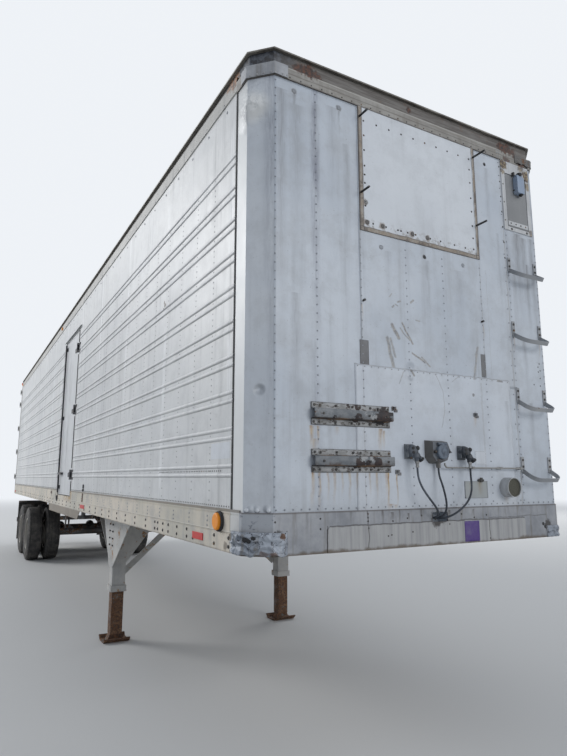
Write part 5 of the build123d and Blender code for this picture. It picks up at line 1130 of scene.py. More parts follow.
def nose_skins():
    """The nose's sheets, lapped over each other, with the overlay below."""
    for name, (x0, x1, z0, z1, layer, look) in NOSE_SHEETS.items():
        skin_panel(name, x0, x1, z0, z1, SKIN - SHEET * layer, SHEET, 0.0012,
                   nose_sheet_paint(name, x0, x1, z0, z1, **look), slot="white_skin")


# Rivet columns of the nose: across, and their pitch
NOSE_COLUMNS = ((-1.09, 0.05), (-0.82, 0.05), (-0.51, 0.05), (-0.16, 0.05), (0.15, 0.05), (0.495, 0.05),
                (0.755, 0.10), (0.790, 0.05), (1.088, 0.05))


def nose_rivets():
    """Rows of rivets on the nose, none behind the blanking panel or the corner panel."""
    on_sheet, on_overlay = SKIN - 0.0034, SKIN - 0.0050
    spots = []
    for x, pitch in NOSE_COLUMNS:
        for z in spaced(BAND_H + 0.03, NOSE_LIP - 0.03, pitch):
            overlaid = z < OVERLAY_TOP and OVERLAY_LEFT < x < OVERLAY_RIGHT
            if not (-0.52 < x < 0.51 and z > PANEL_LOW - 0.02) and not (x > 0.76 and z > LID_LOW.z):
                spots.append((x, on_overlay if overlaid else on_sheet, z))
    spots += [(x, on_overlay, BAND_H + 0.014) for x in spaced(-1.08, 1.08, 0.05)]
    domes("nose_rivets", spots, 0.0048, 0.0022, rivet_grey)
    row = spaced(OVERLAY_LEFT + 0.02, OVERLAY_RIGHT - 0.02, 0.05)
    domes("overlay_rivets", [(x, on_overlay, OVERLAY_TOP - 0.012) for x in row], 0.0040, 0.0020, rivet_pale)


def blank_panel_rivets():
    """Rivets and washers round the blanking panel, on its front face."""
    face, foot, left, right = 0.0032, 1.925, -0.465, 0.45
    spots = [(x, face, 2.60) for x in spaced(left, right, 0.102)]
    spots += [(left, face, z) for z in (2.50, 2.40, 2.295, 2.235, 2.18, 2.055, 2.03)]
    spots += [(right, face, z) for z in (2.52, 2.42, 2.305, 2.205, 2.10, 2.01, 1.93)]
    spots += [(x, face, foot) for x in (-0.41, -0.31, -0.215, -0.19, -0.135, -0.07, 0.055, 0.145, 0.27, 0.37)]
    domes("panel_rivets", spots, 0.0068, 0.0030, bolt_dark)
    washers = [(x, face, foot) for x in (-0.455, -0.335, -0.095, 0.03)] + [(-0.46, face, 2.055)]
    domes("panel_washers", washers, 0.016, 0.0025, hat_steel, sides=14)


def nose_plugs():
    """Plugs, and black discs in the open holes of the nose's skin as painted shade inside them."""
    y = SKIN - 0.0018
    grey = [(-0.965, y, 2.63), (-0.65, y, 2.63), (-0.35, y - 0.001, 1.785), (0.34, y - 0.001, 1.795)]
    domes("nose_plugs", grey, 0.0145, 0.003, rivet_grey, sides=14)
    # Black discs: painted shade inside the open holes
    black = [(0.61, y - 0.001, 2.605), (0.0, y - 0.001, 1.79)]
    domes("nose_holes", black, 0.0125, 0.0012, gasket_black, sides=14)


def nose_patches():
    """Tape, the bare plate with its clip, the blank label and the blank sticker."""
    tape_y = SKIN - SHEET * 2 - 0.0008
    tapes = ((-0.530, -0.466, 1.035, 1.185), (0.458, 0.502, 1.045, 1.200))
    for index, (x0, x1, z0, z1) in enumerate(tapes):
        skin_panel(f"tape_{index + 1}", x0, x1, z0, z1, tape_y, 0.0005, 0.0012, tape_grey, step=0.008)
    y, rim = SKIN - SHEET * 4.4, 0.006
    back, front = y - 0.0015, y - 0.0026
    x0, x1, z0, z1 = 0.247, 0.446, 0.266, 0.370
    plate = [(x0, x1, back, y + 0.001, z0, z1)]
    plate += [(x0, x1, front, back, z, z + rim) for z in (z0, z1 - rim)]
    plate += [(x, x + rim, front, back, z0, z1) for x in (x0, x1 - rim)]
    boxes("bare_plate", plate, bare_plate, bevel=0.0004)
    boxes("plate_clip", [(0.362, 0.412, y - 0.008, y - 0.001, 0.368, 0.382),
                         (0.376, 0.398, y - 0.011, y - 0.008, 0.364, 0.392)], bolt_dark)
    boxes("blank_label", [(0.352, 0.452, y - 0.0006, y + 0.001, 0.472, 0.562)], label_white, bevel=0.0002)
    dots = [(x, y - 0.0006, z) for x in spaced(0.357, 0.447, 0.010) for z in (0.477, 0.557)]
    dots += [(x, y - 0.0006, z) for x in (0.357, 0.447) for z in spaced(0.487, 0.547, 0.010)]
    domes("label_edge", dots, 0.0022, 0.0003, rivet_grey, sides=6)
    skin_panel("blank_sticker", 0.222, 0.348, 0.008, 0.130, -0.0055, 0.0004, 0.0008, sticker_purple,
               step=0.01)


def nose_lugs():
    """Small rusty lugs left on the nose."""
    y = SKIN - 0.0045
    lugs = []
    for x, z in ((-0.300, 0.792), (-0.287, 0.425), (0.372, 0.790)):
        lugs += [(x - 0.012, x + 0.020, y - 0.006, y, z - 0.012, z + 0.012),
                 (x - 0.004, x + 0.006, y - 0.020, y - 0.006, z - 0.004, z + 0.010),
                 (x + 0.006, x + 0.030, y - 0.005, y, z - 0.020, z - 0.004)]
    boxes("nose_lugs", lugs, lug_steel, bevel=0.0012)


def hat_sections():
    """Two bent hat sections with ragged flanges, and their bolts."""
    low, high = body_box("hat_brackets")
    reach, top = SKIN - low.y, HAT_H - HAT_FLANGE
    outline = ((0.0, 0.0075), (0.016, 0.0075), (HAT_FLANGE, 0.008), (HAT_FLANGE + 0.002, 0.012),
               (HAT_FLANGE + 0.0035, reach - 0.004), (HAT_FLANGE + 0.007, reach), (HAT_H / 2, reach),
               (top - 0.007, reach), (top - 0.0035, reach - 0.004), (top - 0.002, 0.012), (top, 0.008),
               (HAT_H - 0.016, 0.0075), (HAT_H, 0.0075))
    bolts, washers, sections = [], [], []
    for index, foot in enumerate((HAT_LOW, HAT_LOW + HAT_RISE)):
        rows = []
        for up, out in outline:
            row = []
            for x in spaced(low.x, high.x, 0.012):
                flange = 0.0 if HAT_FLANGE < up < top else 1.0
                bent = flange * max(0.0, noise.noise(Vector((x * 13, up * 40, index * 7)))) * 0.004
                face = (1 - flange) * noise.noise(Vector((x * 6, up * 9, index * 3 + 20))) * 0.0012
                row.append(at(x, SKIN - min(reach, out + bent + face), foot + up))
            rows.append(row)
        sections.append(grid_piece(f"hat_section_{index + 1}", rows, hat_steel, 0.003))
        for up, shift in ((0.016, 0.0), (HAT_H - 0.016, 0.006)):
            row = [(low.x + dx + shift, SKIN - 0.0085, foot + up)
                   for dx in (0.013, 0.048, 0.155, 0.265, 0.313, 0.390, 0.445, 0.515)]
            bolts += row
            washers += row[1::3]
        bolts += [(low.x + dx, SKIN - reach, foot + 0.060) for dx in (0.055, 0.362, 0.490)]
    hex_heads("hat_bolts", bolts, 0.0072, 0.006, bolt_dark)
    domes("hat_washers", washers, 0.0125, 0.002, zinc, sides=12)
    for section in sections:
        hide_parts("hat_brackets")


# Outlines of the gladhands' turned parts, each from its root outwards: radius and distance along
COUPLING = ((0.034, 0.0), (0.037, 0.006), (0.037, 0.024), (0.032, 0.032), (0.030, 0.044), (0.023, 0.050))
HOSE_BOSS = ((0.019, 0.0), (0.020, 0.020), (0.013, 0.030), (0.012, 0.046))
SIDE_ARM = ((0.015, 0.0), (0.015, 0.018), (0.011, 0.026), (0.012, 0.044))
SEAL_HOLE = ((0.0090, 0.0), (0.0095, 0.004), (0.0060, 0.005))
SEAL_CUP = ((0.0125, 0.0), (0.0135, 0.008), (0.007, 0.014))
SEAL_FACE = ((0.014, 0.0), (0.018, 0.003), (0.018, 0.011), (0.008, 0.013))
NECK = ((0.0125, 0.0), (0.0125, 0.012), (0.0092, 0.014), (0.0092, 0.028), (0.0110, 0.029), (0.0110, 0.036))
DOWN, AHEAD, ASLANT = (0, 0, -1), (-0.10, -1, 0), (0.62, -0.10, -0.62)


def gladhand_castings():
    """Each gladhand: plate, coupling body with its seals, side arm with a rubber face, and hose neck."""
    for label in ("service", "emergency"):
        x, y, z = HOSES["hose_" + label][0]
        plate = [(x - 0.043, x + 0.022, SKIN - 0.012, SKIN - 0.0045, z + 0.050, z + 0.137),
                 (x - 0.043, x - 0.036, SKIN - 0.038, SKIN - 0.012, z + 0.060, z + 0.130)]
        body = [((x - 0.006, SKIN - 0.012, z + 0.098), AHEAD, COUPLING),
                ((x, y + 0.006, z + 0.080), DOWN, HOSE_BOSS),
                ((x + 0.004, y + 0.012, z + 0.082), ASLANT, SIDE_ARM)]
        seals = [((x - 0.022, SKIN - 0.0595, z + 0.112), AHEAD, SEAL_HOLE),
                 ((x - 0.020, SKIN - 0.0600, z + 0.088), AHEAD, SEAL_HOLE),
                 ((x + 0.012, SKIN - 0.056, z + 0.112), (0.35, -1, 0.3), SEAL_CUP),
                 ((x + 0.034, y + 0.007, z + 0.051), ASLANT, SEAL_FACE)]
        neck = [((x, y, z + 0.036), DOWN, NECK)]
        for made in (boxes(f"gladhand_bracket_{label}", plate, cast_pale, bevel=0.002),
                     turned(f"gladhand_body_{label}", body, dark_casting),
                     turned(f"gladhand_seals_{label}", seals, gasket_black),
                     turned(f"gladhand_neck_{label}", neck, zinc, sides=6, slot="grey_plastic")):
            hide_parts("gladhands")


# Middle of the receptacle's front, and how far its lid stands out
SOCKET_X, SOCKET_Y, SOCKET_Z = 0.010, -0.055, 0.545
SOCKET_LID = 0.023


def socket_details():
    """A knob at each side of the receptacle's lid, the boss in its middle and a lip under it."""
    x, face, z = SOCKET_X, SOCKET_Y, SOCKET_Z
    knob = ((0.0090, 0.0), (0.0090, 0.012), (0.0060, 0.016))
    boss = ((0.018, -0.002), (0.017, 0.003), (0.006, 0.006))
    knobs = [((x + dx, face, z), FORWARD, knob) for dx in (-0.053, 0.057)]
    turned("receptacle_knobs", knobs, bolt_dark, sides=10)
    turned("receptacle_boss", [((x, face - SOCKET_LID, z), FORWARD, boss)], socket_casting)
    lip = (x - 0.034, x + 0.030, face - 0.007, face + 0.002, z - 0.052, z - 0.046)
    boxes("receptacle_lip", [lip], lug_steel, bevel=0.0015)


# The device on the corner panel: middle across, half its width, and its foot, shoulder and head
DEVICE_X, DEVICE_HALF, DEVICE_LOW, DEVICE_HIGH, DEVICE_HEAD = 0.934, 0.037, 2.444, 2.574, 2.590


def corner_hatch():
    """The corner panel: frame, grey lid with its hinge strip, and the slim device on it."""
    x0, x1, z0, z1 = LID_LOW.x, LID_HIGH.x, LID_LOW.z, LID_HIGH.z
    side, foot, head, gap = 0.036, 0.030, 0.095, 0.004
    left, right, low, high = x0 + side, x1 - side, z0 + foot, z1 - head
    face, deep, on_lid = -0.001, SKIN, 0.0015
    frame_blocks = [(x0, left, face, deep, z0, z1), (right, x1, face, deep, z0, z1),
                    (left, right, face, deep, z0, low), (left, right, face, deep, high, z1)]
    lid = (left + gap, right - gap, on_lid, deep, low + gap, high - gap)
    strip = (left + gap + 0.004, right - gap - 0.004, -0.0015, on_lid, z0 + 0.042, z0 + 0.074)
    reach = (-LID_LOW.y - 0.001) * 0.55
    start, end = DEVICE_X - DEVICE_HALF, DEVICE_X + DEVICE_HALF
    shell = [(start, end, -reach, on_lid, DEVICE_LOW, DEVICE_HIGH),
             (start + 0.006, end - 0.006, -reach * 0.8, on_lid, DEVICE_HIGH, DEVICE_HEAD)]
    caps = [((DEVICE_X + 0.006, -reach * 0.55, DEVICE_HEAD - 0.004), (0, 0, 1),
             ((0.017, 0.0), (0.020, 0.006), (0.020, 0.020), (0.015, 0.025))),
            ((DEVICE_X + 0.012, -reach * 0.60, DEVICE_LOW + 0.002), DOWN,
             ((0.015, 0.0), (0.015, 0.008), (0.009, 0.011), (0.008, 0.016)))]
    clamp = [(start - 0.012, start, -reach * 0.5, 0.001, 2.585, 2.612),
             (start - 0.004, end + 0.004, -reach * 0.3, 0.001, 2.470, 2.478)]
    for made in (boxes("hatch_frame", frame_blocks, panel_skin, bevel=0.0015),
                 boxes("hatch_lid", [lid], lid_grey, bevel=0.0012),
                 boxes("hatch_seal", [(left, right, 0.0045, deep, low, high)], gasket_black),
                 boxes("hatch_hinge", [strip], panel_skin, bevel=0.0008),
                 boxes("hatch_device", shell, lamp_grey, bevel=0.004),
                 turned("hatch_device_caps", caps, gasket_black),
                 boxes("hatch_clamp", clamp, bolt_dark, bevel=0.001)):
        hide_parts("corner_panel")


# The nose steps: heights of their feet, the feet's middles across, and how thick their strip is
STEP_FEET = (0.440, 0.9085, 1.377, 1.8455)
STEP_LEFT, STEP_RIGHT, STEP_STRIP = 0.795, 1.067, 0.006


def step_bolts():
    """Two dark bolts on each foot of the steps, rivets on the corner panel, and the seam beside both."""
    spots = [(x, SKIN - STEP_STRIP, foot + rise)
             for foot in STEP_FEET for x in (STEP_LEFT, STEP_RIGHT) for rise in (0.025, 0.068)]
    hex_heads("step_bolts", spots, 0.0085, 0.007, bolt_dark)
    spots = [(x, -0.0015, 2.208) for x in spaced(LID_LOW.x + 0.07, LID_HIGH.x - 0.07, 0.052)]
    domes("lid_rivets", spots, 0.0062, 0.003, bolt_dark)
    domes("panel_bolts", [(LID_LOW.x + dx, -0.001, 2.164) for dx in (0.075, 0.235)], 0.0095, 0.004, bolt_dark)
    spots = [(LID_LOW.x + 0.012, -0.001, z) for z in spaced(2.22, 2.64, 0.14)]
    domes("panel_edge_rivets", spots, 0.0055, 0.0022, bolt_dark)
    seam, on_sheet = LID_LOW.x - 0.013, SKIN - SHEET
    domes("seam_studs", [(seam, on_sheet, z) for z in spaced(1.93, 2.63, 0.118)], 0.0078, 0.0030, bolt_dark)
    boxes("sheet_seam", [(seam + 0.006, seam + 0.0085, on_sheet - 0.0008, SKIN, 1.88, 2.685)], gasket_black,
          bevel=0.0002)
    nicks = ((1.045, 1.19), (1.03, 1.165), (1.05, 1.14), (1.03, 1.13), (1.045, 1.085), (0.975, 1.035),
             (1.04, 1.03))
    domes("corner_nicks", [(x, on_sheet, z) for x, z in nicks], 0.006, 0.0012, bolt_dark)


def rail_caps():
    """Sheet caps bent round the ends of the nose rail's lip, the road one torn and rusty."""
    front, out = HALF - CHAMFER, 0.001
    low, high = NOSE_LIP + 0.004, NOSE_LIP + 0.084
    path = [(-1.010, -out), (-front, -out), (-HALF - out, CHAMFER), (-HALF - out, 0.190)]
    crumpled("rail_cap_curb", path, low, high, 5.1, 0.003, cap_metal)
    path = [(0.930, -out), (front, -out), (HALF + out, CHAMFER), (HALF + out, 0.190)]
    crumpled("rail_cap_road", path, low + 0.012, high - 0.006, 2.3, 0.014, cap_rusty, ragged=0.020)
    z = NOSE_LIP + 0.016
    spots = [(x, -0.003, z) for x in (-1.085, -1.050, -1.020)]
    spots += [(-front - 0.12 * share - 0.003, 0.12 * share - 0.003, z) for share in (0.12, 0.37, 0.62, 0.87)]
    domes("rail_cap_rivets_curb", spots, 0.0072, 0.004, rivet_pale, normal=(-0.6, -1, 0),
          slot="bare_aluminium")


def rail_rivets():
    """Rivets along the nose rail's lip and the side rails."""
    spots = [(x, 0.0, NOSE_LIP + 0.014) for x in spaced(-1.07, 0.70, 0.075)]
    domes("nose_rail_rivets", spots, 0.0050, 0.0026, bolt_dark)
    cap = [(x, 0.0, NOSE_LIP + up) for x in (0.742, 0.762) for up in (0.018, 0.045, 0.068)]
    domes("rail_cap_rivets", cap, 0.0060, 0.0032, rivet_pale, slot="bare_aluminium")
    for side, label in SIDES:
        spots = [(side * HALF, y, 2.720) for y in spaced(0.15, LENGTH - 0.14, 0.30)]
        spots += [(side * HALF, y, 2.785) for y in (0.15, 0.18, 0.21, 0.24)]
        domes(f"side_rail_rivets_{label}", spots, 0.0055, 0.0028, rivet_pale, normal=(side, 0, 0),
              slot="bare_aluminium")


def side_rivets():
    """Columns of rivets on both sides, between the beads, and rows under the top rail and at the foot."""
    heights = [0.262, 0.318, 0.368]
    for pair in range(BEAD_PAIRS):
        heights += [BEAD_FIRST + pair * BEAD_PITCH + step for step in (0.0, 0.065, 0.102, 0.139)]
    heights = heights[:-3]
    for side, label in SIDES:
        x, turned_out = side * (HALF - SKIN), (side, 0, 0)
        columns = [y for y in spaced(0.590, LENGTH - 0.36, 0.305)
                   if side > 0 or not DOOR_LOW.y - 0.04 < y < DOOR_HIGH.y + 0.17]
        spots = [(x, y, z) for y in columns for z in heights]
        domes(f"side_rivets_{label}", spots, 0.0052, 0.0022, rivet_pale, normal=turned_out, sides=6)
        row = [(x, y, 2.655) for y in spaced(0.42, LENGTH - 0.3, 0.31)]
        domes(f"side_top_rivets_{label}", row, 0.0095, 0.004, rivet_grey, normal=turned_out)
        foot = [(x, y, BAND_H + 0.022) for y in spaced(0.30, LENGTH - 0.16, 0.033)]
        if side < 0:
            foot += [(x, y, BEAD_FIRST) for y in spaced(0.42, 1.56, 0.030)]
            foot = [spot for spot in foot if not DOOR_LOW.y - 0.02 < spot[1] < DOOR_HIGH.y + 0.16]
        domes(f"foot_rivets_{label}", foot, 0.0046, 0.0026, bolt_dark, normal=turned_out, sides=6)


def side_strips():
    """Dark gasket behind the corner posts, the blank patch, and small brackets and holders."""
    face = HALF - SKIN
    for side, label in SIDES:
        inner, outer = sorted((side * (face - 0.002), side * (face + 0.0032)))
        strip = (inner, outer, POST_END - 0.011, POST_END + 0.009, BAND_H + 0.002, 2.703)
        boxes(f"post_gasket_{label}", [strip], gasket_black, bevel=0.001)
    patch = (-face - 0.0008, -face + 0.001, 0.30, 0.57, 0.497, 0.588)
    boxes("side_patch", [patch], label_white, bevel=0.0002)
    boxes("side_brackets", [(-HALF - 0.006, -HALF, 4.475, 4.515, 0.112, BAND_H - 0.004),
                            (-HALF - 0.010, -HALF, 7.00, 7.09, 0.155, 0.185)], rust_steel, bevel=0.002)
    keeper, out = DOOR_HIGH.y - 0.03, -HALF - 0.010
    boxes("side_holders", [(-face - 0.016, -face, 4.485, 4.505, 0.232, 0.262),
                           (-face - 0.014, -face, 4.487, 4.503, 0.268, 0.312),
                           (out, -HALF, keeper, keeper + 0.05, 0.060, 0.142),
                           (out - 0.008, out, keeper + 0.008, keeper + 0.042, 0.085, 0.135)], door_iron,
          bevel=0.003)


# Uneven places of the first bolts along the bottom rails
RAIL_BOLTS = (0.28, 0.48, 0.82, 0.93, 1.12, 1.30, 1.42, 1.54, 1.61, 1.85)


def rail_bolts():
    """Bolt heads along the bottom rails, none under the curb side's reflector, and rivets above them."""
    for side, label in SIDES:
        spots = [(side * HALF, y, z) for y in (*RAIL_BOLTS, *spaced(2.16, LENGTH - 0.30, 0.31))
                 for z in (0.075, 0.030) if side > 0 or not (z > 0.06 and 0.64 < y < 0.83)]
        rivets = [(side * HALF, y, z) for y in spaced(0.59, LENGTH - 0.30, 0.305)
                  for z in (0.122, 0.148, 0.174)
                  if side > 0 or not DOOR_LOW.y - 0.05 < y < DOOR_HIGH.y + 0.05]
        domes(f"rail_bolts_{label}", spots, 0.0105, 0.006, bolt_dark, normal=(side, 0, 0))
        domes(f"rail_rivets_{label}", rivets, 0.0065, 0.003, rivet_grey, normal=(side, 0, 0), sides=6,
              slot="cream_rail")


def lamp_rims():
    """Black rubber rings round the front marker lamps."""
    for side, label in SIDES:
        ring_piece(f"lamp_rim_{label}", (side * HALF, 0.400, 0.155), (side, 0, 0), 0.0472, 0.056, 0.016,
                   gasket_black)


def nose_wounds():
    """Crumpled plate on the band's curb corner, and the torn foot of its road corner."""
    front, corner = HALF - CHAMFER, (-1, -1, 0)
    path = [(-1.018, 0.0), (-front, 0.0), (-HALF, CHAMFER), (-HALF, 0.236)]
    crumpled("torn_corner_curb", path, 0.004, 0.118, 3.7, 0.022, bright_metal, ragged=-0.012)
    path = [(0.985, 0.0), (front, 0.0), (HALF, 0.120), (HALF, 0.146)]
    crumpled("torn_corner_road", path, 0.002, 0.075, 9.2, 0.012, bright_metal)
    # Black discs: painted shade inside the holes in the torn curb corner
    spots = [(-1.212, 0.096, 0.083), (-1.180, 0.064, 0.086), (-1.197, 0.080, 0.078), (-1.226, 0.150, 0.078)]
    domes("corner_holes_curb", spots, 0.015, 0.003, gasket_black, normal=corner, sides=7)
    rivets = [(x, -0.003, 0.112) for x in (-1.03, -1.055)] + [(-1.03, -0.003, z) for z in (0.02, 0.05, 0.08)]
    domes("corner_rivets_curb", rivets, 0.005, 0.003, bolt_dark)
    # Black discs: painted shade inside the holes at the road corner
    spots = [(0.955, -0.0002, 0.088), (0.972, -0.0002, 0.070)]
    domes("corner_holes_road", spots, 0.012, 0.0012, gasket_black, sides=9)
    # Three studs in the whiter label paint, a painted highlight, each with a flat dark disc a little below it
    # as its painted shadow
    studs = [(-FLAT_X - CHAMFER * share, SKIN + CHAMFER * share, BAND_H + 0.012)
             for share in (0.14, 0.50, 0.84)]
    domes("chamfer_studs", studs, 0.0115, 0.0075, label_white, normal=corner, sides=12)
    shades = [(x + 0.0004, y + 0.0004, z - 0.004) for x, y, z in studs]
    domes("chamfer_stud_shadows", shades, 0.0150, 0.0010, rivet_grey, normal=corner, sides=12)


def corner_bulge():
    """A swelling at the head of the curb corner, between chamfer and side."""
    edge, turn, slope = HALF - SKIN, CHAMFER + SKIN * (math.sqrt(2) - 1), math.sqrt(0.5)
    rows = []
    for z in np.linspace(2.37, 2.65, 29):
        row = []
        for s in np.linspace(-0.105, 0.075, 19):
            x, y = -edge + max(0.0, -s) * slope, turn + (s if s > 0 else s * slope)
            swell = max(0.0, 1 - ((s + 0.02) / 0.085) ** 2 - ((z - 2.51) / 0.13) ** 2)
            lift = swell * (0.0095 + 0.004 * noise.noise(Vector((s * 30, z * 24, 1.0)))) - 0.0015
            row.append(at(x - lift * 0.9, y - lift * 0.4, z))
        rows.append(row)
    grid_piece("corner_bulge", rows, corner_skin)


def band_rivets():
    """Dark bolt heads and dots over the nose band and the pick-up plate."""
    spots = [(-0.817, 0.179), (-0.817, 0.126), (-1.088, 0.170), (-1.088, 0.120)]
    spots += [(x, 0.150 + 0.012 * ((k * 7) % 3)) for k, x in enumerate(spaced(-0.33, 0.42, 0.11))]
    spots += [(-0.505, z) for z in (0.195, 0.175, 0.155)]
    domes("band_bolts", [(x, 0.0, z) for x, z in spots], 0.0055, 0.0028, bolt_dark)
    spots = ((-0.505, 0.118), (-0.37, 0.07), (-0.345, 0.075), (0.10, 0.118), (0.44, 0.02), (-0.19, 0.085))
    domes("pickup_bolts", [(x, -0.005, z) for x, z in spots], 0.0050, 0.0022, bolt_dark)


def tyre_outline(tread_drop):
    """Half outline of a tyre, from its bead to its crown: out from the middle plane, and radius."""
    return ((0.1058, 0.2880), (0.1090, 0.3050), (0.1215, 0.3125), (0.1240, 0.3300), (0.1262, 0.3320),
            (0.1315, 0.3560), (0.1350, 0.3750), (0.1362, 0.3770), (0.1370, 0.3860), (0.1362, 0.4120),
            (0.1340, 0.4300), (0.1312, 0.4420), (0.1285, 0.4440), (0.1240, 0.4700), (0.1165, 0.4900),
            (0.1125 - tread_drop, 0.4985 - tread_drop), (0.1075 - tread_drop, 0.5100 - tread_drop * 1.6),
            (0.0980, 0.5125 - tread_drop * 1.6), (0.0850, 0.5150 - tread_drop), (0.0845, 0.5030),
            (0.0765, 0.5030), (0.0760, 0.5168), (0.0560, 0.5185), (0.0400, 0.5192), (0.0395, 0.5070),
            (0.0315, 0.5070), (0.0310, 0.5195), (0.0, 0.5197))


# Half a tyre's width, and the steps round it
TYRE_HALF, TYRE_STEPS = 0.1375, 160


def tyres():
    """Ribbed road tyres over the plain CAD ones."""
    for axle in ("front", "rear"):
        for _, label in SIDES:
            low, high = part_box(f"tyres_{axle}_{label}")
            middle_y, middle_z = (low.y + high.y) / 2, (low.z + high.z) / 2
            vertices, faces = [], []
            for middle_x in (low.x + TYRE_HALF, high.x - TYRE_HALF):
                first = len(vertices)
                for k in range(TYRE_STEPS):
                    turn = 2 * math.pi * k / TYRE_STEPS
                    half = tyre_outline(0.006 if k % 4 == 0 else 0.0)
                    outline = half + tuple((-dx, r) for dx, r in half[-2::-1])
                    vertices += [(middle_x + dx, middle_y + r * math.cos(turn), middle_z + r * math.sin(turn))
                                 for dx, r in outline]
                around = lattice(TYRE_STEPS, len(outline), first, closed=True)
                faces += [(a, d, c, b) for a, b, c, d in around]
            made = piece(f"treads_{axle}_{label}", vertices, faces, tyre_black, body=f"wheels_{axle}_{label}")
            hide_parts(f"tyres_{axle}_{label}")


def round_spots(x, y, z, radius, count, first=0):
    """Places round an axle, evenly spaced from the first angle in degrees."""
    turns = [math.radians(first + 360 / count * k) for k in range(count)]
    return [(x, y + radius * math.sin(turn), z + radius * math.cos(turn)) for turn in turns]


# How far the hubs' mounting faces lie inside the trailer's sides, and the circles of nuts and bolts
HUB_INSET, NUT_CIRCLE, CAP_CIRCLE = 0.316, 0.1429, 0.069


def wheel_nuts():
    """Hex nuts on the wheel studs, and bolts round the hub caps."""
    for axle in ("front", "rear"):
        for side, label in SIDES:
            low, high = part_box(f"wheel_{axle}_{label}")
            y, z = (low.y + high.y) / 2 - NOSE, (low.z + high.z) / 2 - RAIL
            hub_x = side * (HALF - HUB_INSET)
            look = dict(normal=(side, 0, 0), body=f"wheels_{axle}_{label}")
            nuts = round_spots(hub_x + side * 0.048, y, z, NUT_CIRCLE, 10, 90)
            hex_heads(f"nuts_{axle}_{label}", nuts, 0.0185, 0.014, rust_steel, **look)
            caps = round_spots(hub_x + side * 0.104, y, z, CAP_CIRCLE, 8)
            hex_heads(f"hub_bolts_{axle}_{label}", caps, 0.0070, 0.006, bolt_dark, **look)


def landing_bolts():
    """Bolts where the landing gear's wings and rails meet the crossmembers."""
    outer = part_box("landing_legs")[1].x
    for side, label in SIDES:
        spots = [(side * outer, y, z) for y in spaced(3.02, 4.04, 0.085) for z in (-0.020, -0.040)]
        spots += [(side * outer, 3.69 + dy, z) for dy in (-0.065, 0.065) for z in spaced(-0.09, -0.30, 0.07)]
        hex_heads(f"wing_bolts_{label}", spots, 0.010, 0.008, bolt_dark, normal=(side, 0, 0))


def door_seals():
    """Black gaskets in the gaps round the doors, each riding on its leaf."""
    deep = 0.016

    def round_leaf(a0, a1, z0, z1, lip):
        """The four strips round a leaf: across or along from, to, up from, to."""
        return ((a0 - lip, a0, z0 - lip, z1 + lip), (a1, a1 + lip, z0 - lip, z1 + lip),
                (a0, a1, z0 - lip, z0), (a0, a1, z1, z1 + lip))

    x = -HALF + 0.010
    flat = round_leaf(DOOR_LOW.y, DOOR_HIGH.y, DOOR_LOW.z, DOOR_HIGH.z, 0.006)
    strips = [(x, x + deep, *strip) for strip in flat]
    boxes("side_door_seal", strips, gasket_black, bevel=0.001, body="side_leaf")
    y = LENGTH - 0.022
    flat = round_leaf(LEAF_LOW.x, LEAF_HIGH.x, LEAF_LOW.z, LEAF_HIGH.z, 0.005)
    for side, label in SIDES:
        strips = [(*sorted((side * a, side * b)), y, y + deep, low, high) for a, b, low, high in flat]
        boxes(f"rear_seal_{label}", strips, gasket_black, bevel=0.001, body=f"rear_leaf_{label}")


# Heights of the side door's hinges, as shares of the leaf
HINGE_SHARES = (0.122, 0.507, 0.887)


def door_strips():
    """Dark rubber strips down both edges of the side door, open at the hinges."""
    face, proud = DOOR_LOW.x, 0.007
    low, height = DOOR_LOW.z, DOOR_HIGH.z - DOOR_LOW.z
    ends = [low + 0.004]
    for share in HINGE_SHARES:
        ends += [low + share * height - 0.085, low + share * height + 0.085]
    ends.append(DOOR_HIGH.z - 0.004)
    front = [(face - proud, face, DOOR_LOW.y + 0.003, DOOR_LOW.y + 0.017, a, b)
             for a, b in zip(ends[::2], ends[1::2])]
    back = (face - proud, face, DOOR_HIGH.y - 0.020, DOOR_HIGH.y - 0.004, ends[0], ends[-1])
    boxes("side_door_strips", [*front, back], gasket_black, bevel=0.0015, body="side_leaf")


def door_rivets():
    """Rivets round the door leaves' edges."""
    def round_leaf(a0, a1, z0, z1, pitch, inset=0.022, skip=0.1):
        """Places along a leaf's edges: across or along, and up."""
        rows = [(a, z) for z in (z0 + inset, z1 - inset) for a in spaced(a0 + inset, a1 - inset, pitch)]
        return rows + [(a, z) for a in (a0 + inset, a1 - inset) for z in spaced(z0 + skip, z1 - skip, pitch)]

    places = round_leaf(DOOR_LOW.y, DOOR_HIGH.y, DOOR_LOW.z, DOOR_HIGH.z, 0.10)
    spots = [(DOOR_LOW.x, y, z) for y, z in places]
    domes("side_door_rivets", spots, 0.0045, 0.0020, rivet_pale, normal=(-1, 0, 0), body="side_leaf")
    places = round_leaf(LEAF_LOW.x, LEAF_HIGH.x, LEAF_LOW.z, LEAF_HIGH.z, 0.075)
    for side, label in SIDES:
        spots = [(side * x, LENGTH, z) for x, z in places]
        domes(f"rear_rivets_{label}", spots, 0.0048, 0.0022, rivet_pale, normal=(0, 1, 0),
              body=f"rear_leaf_{label}")


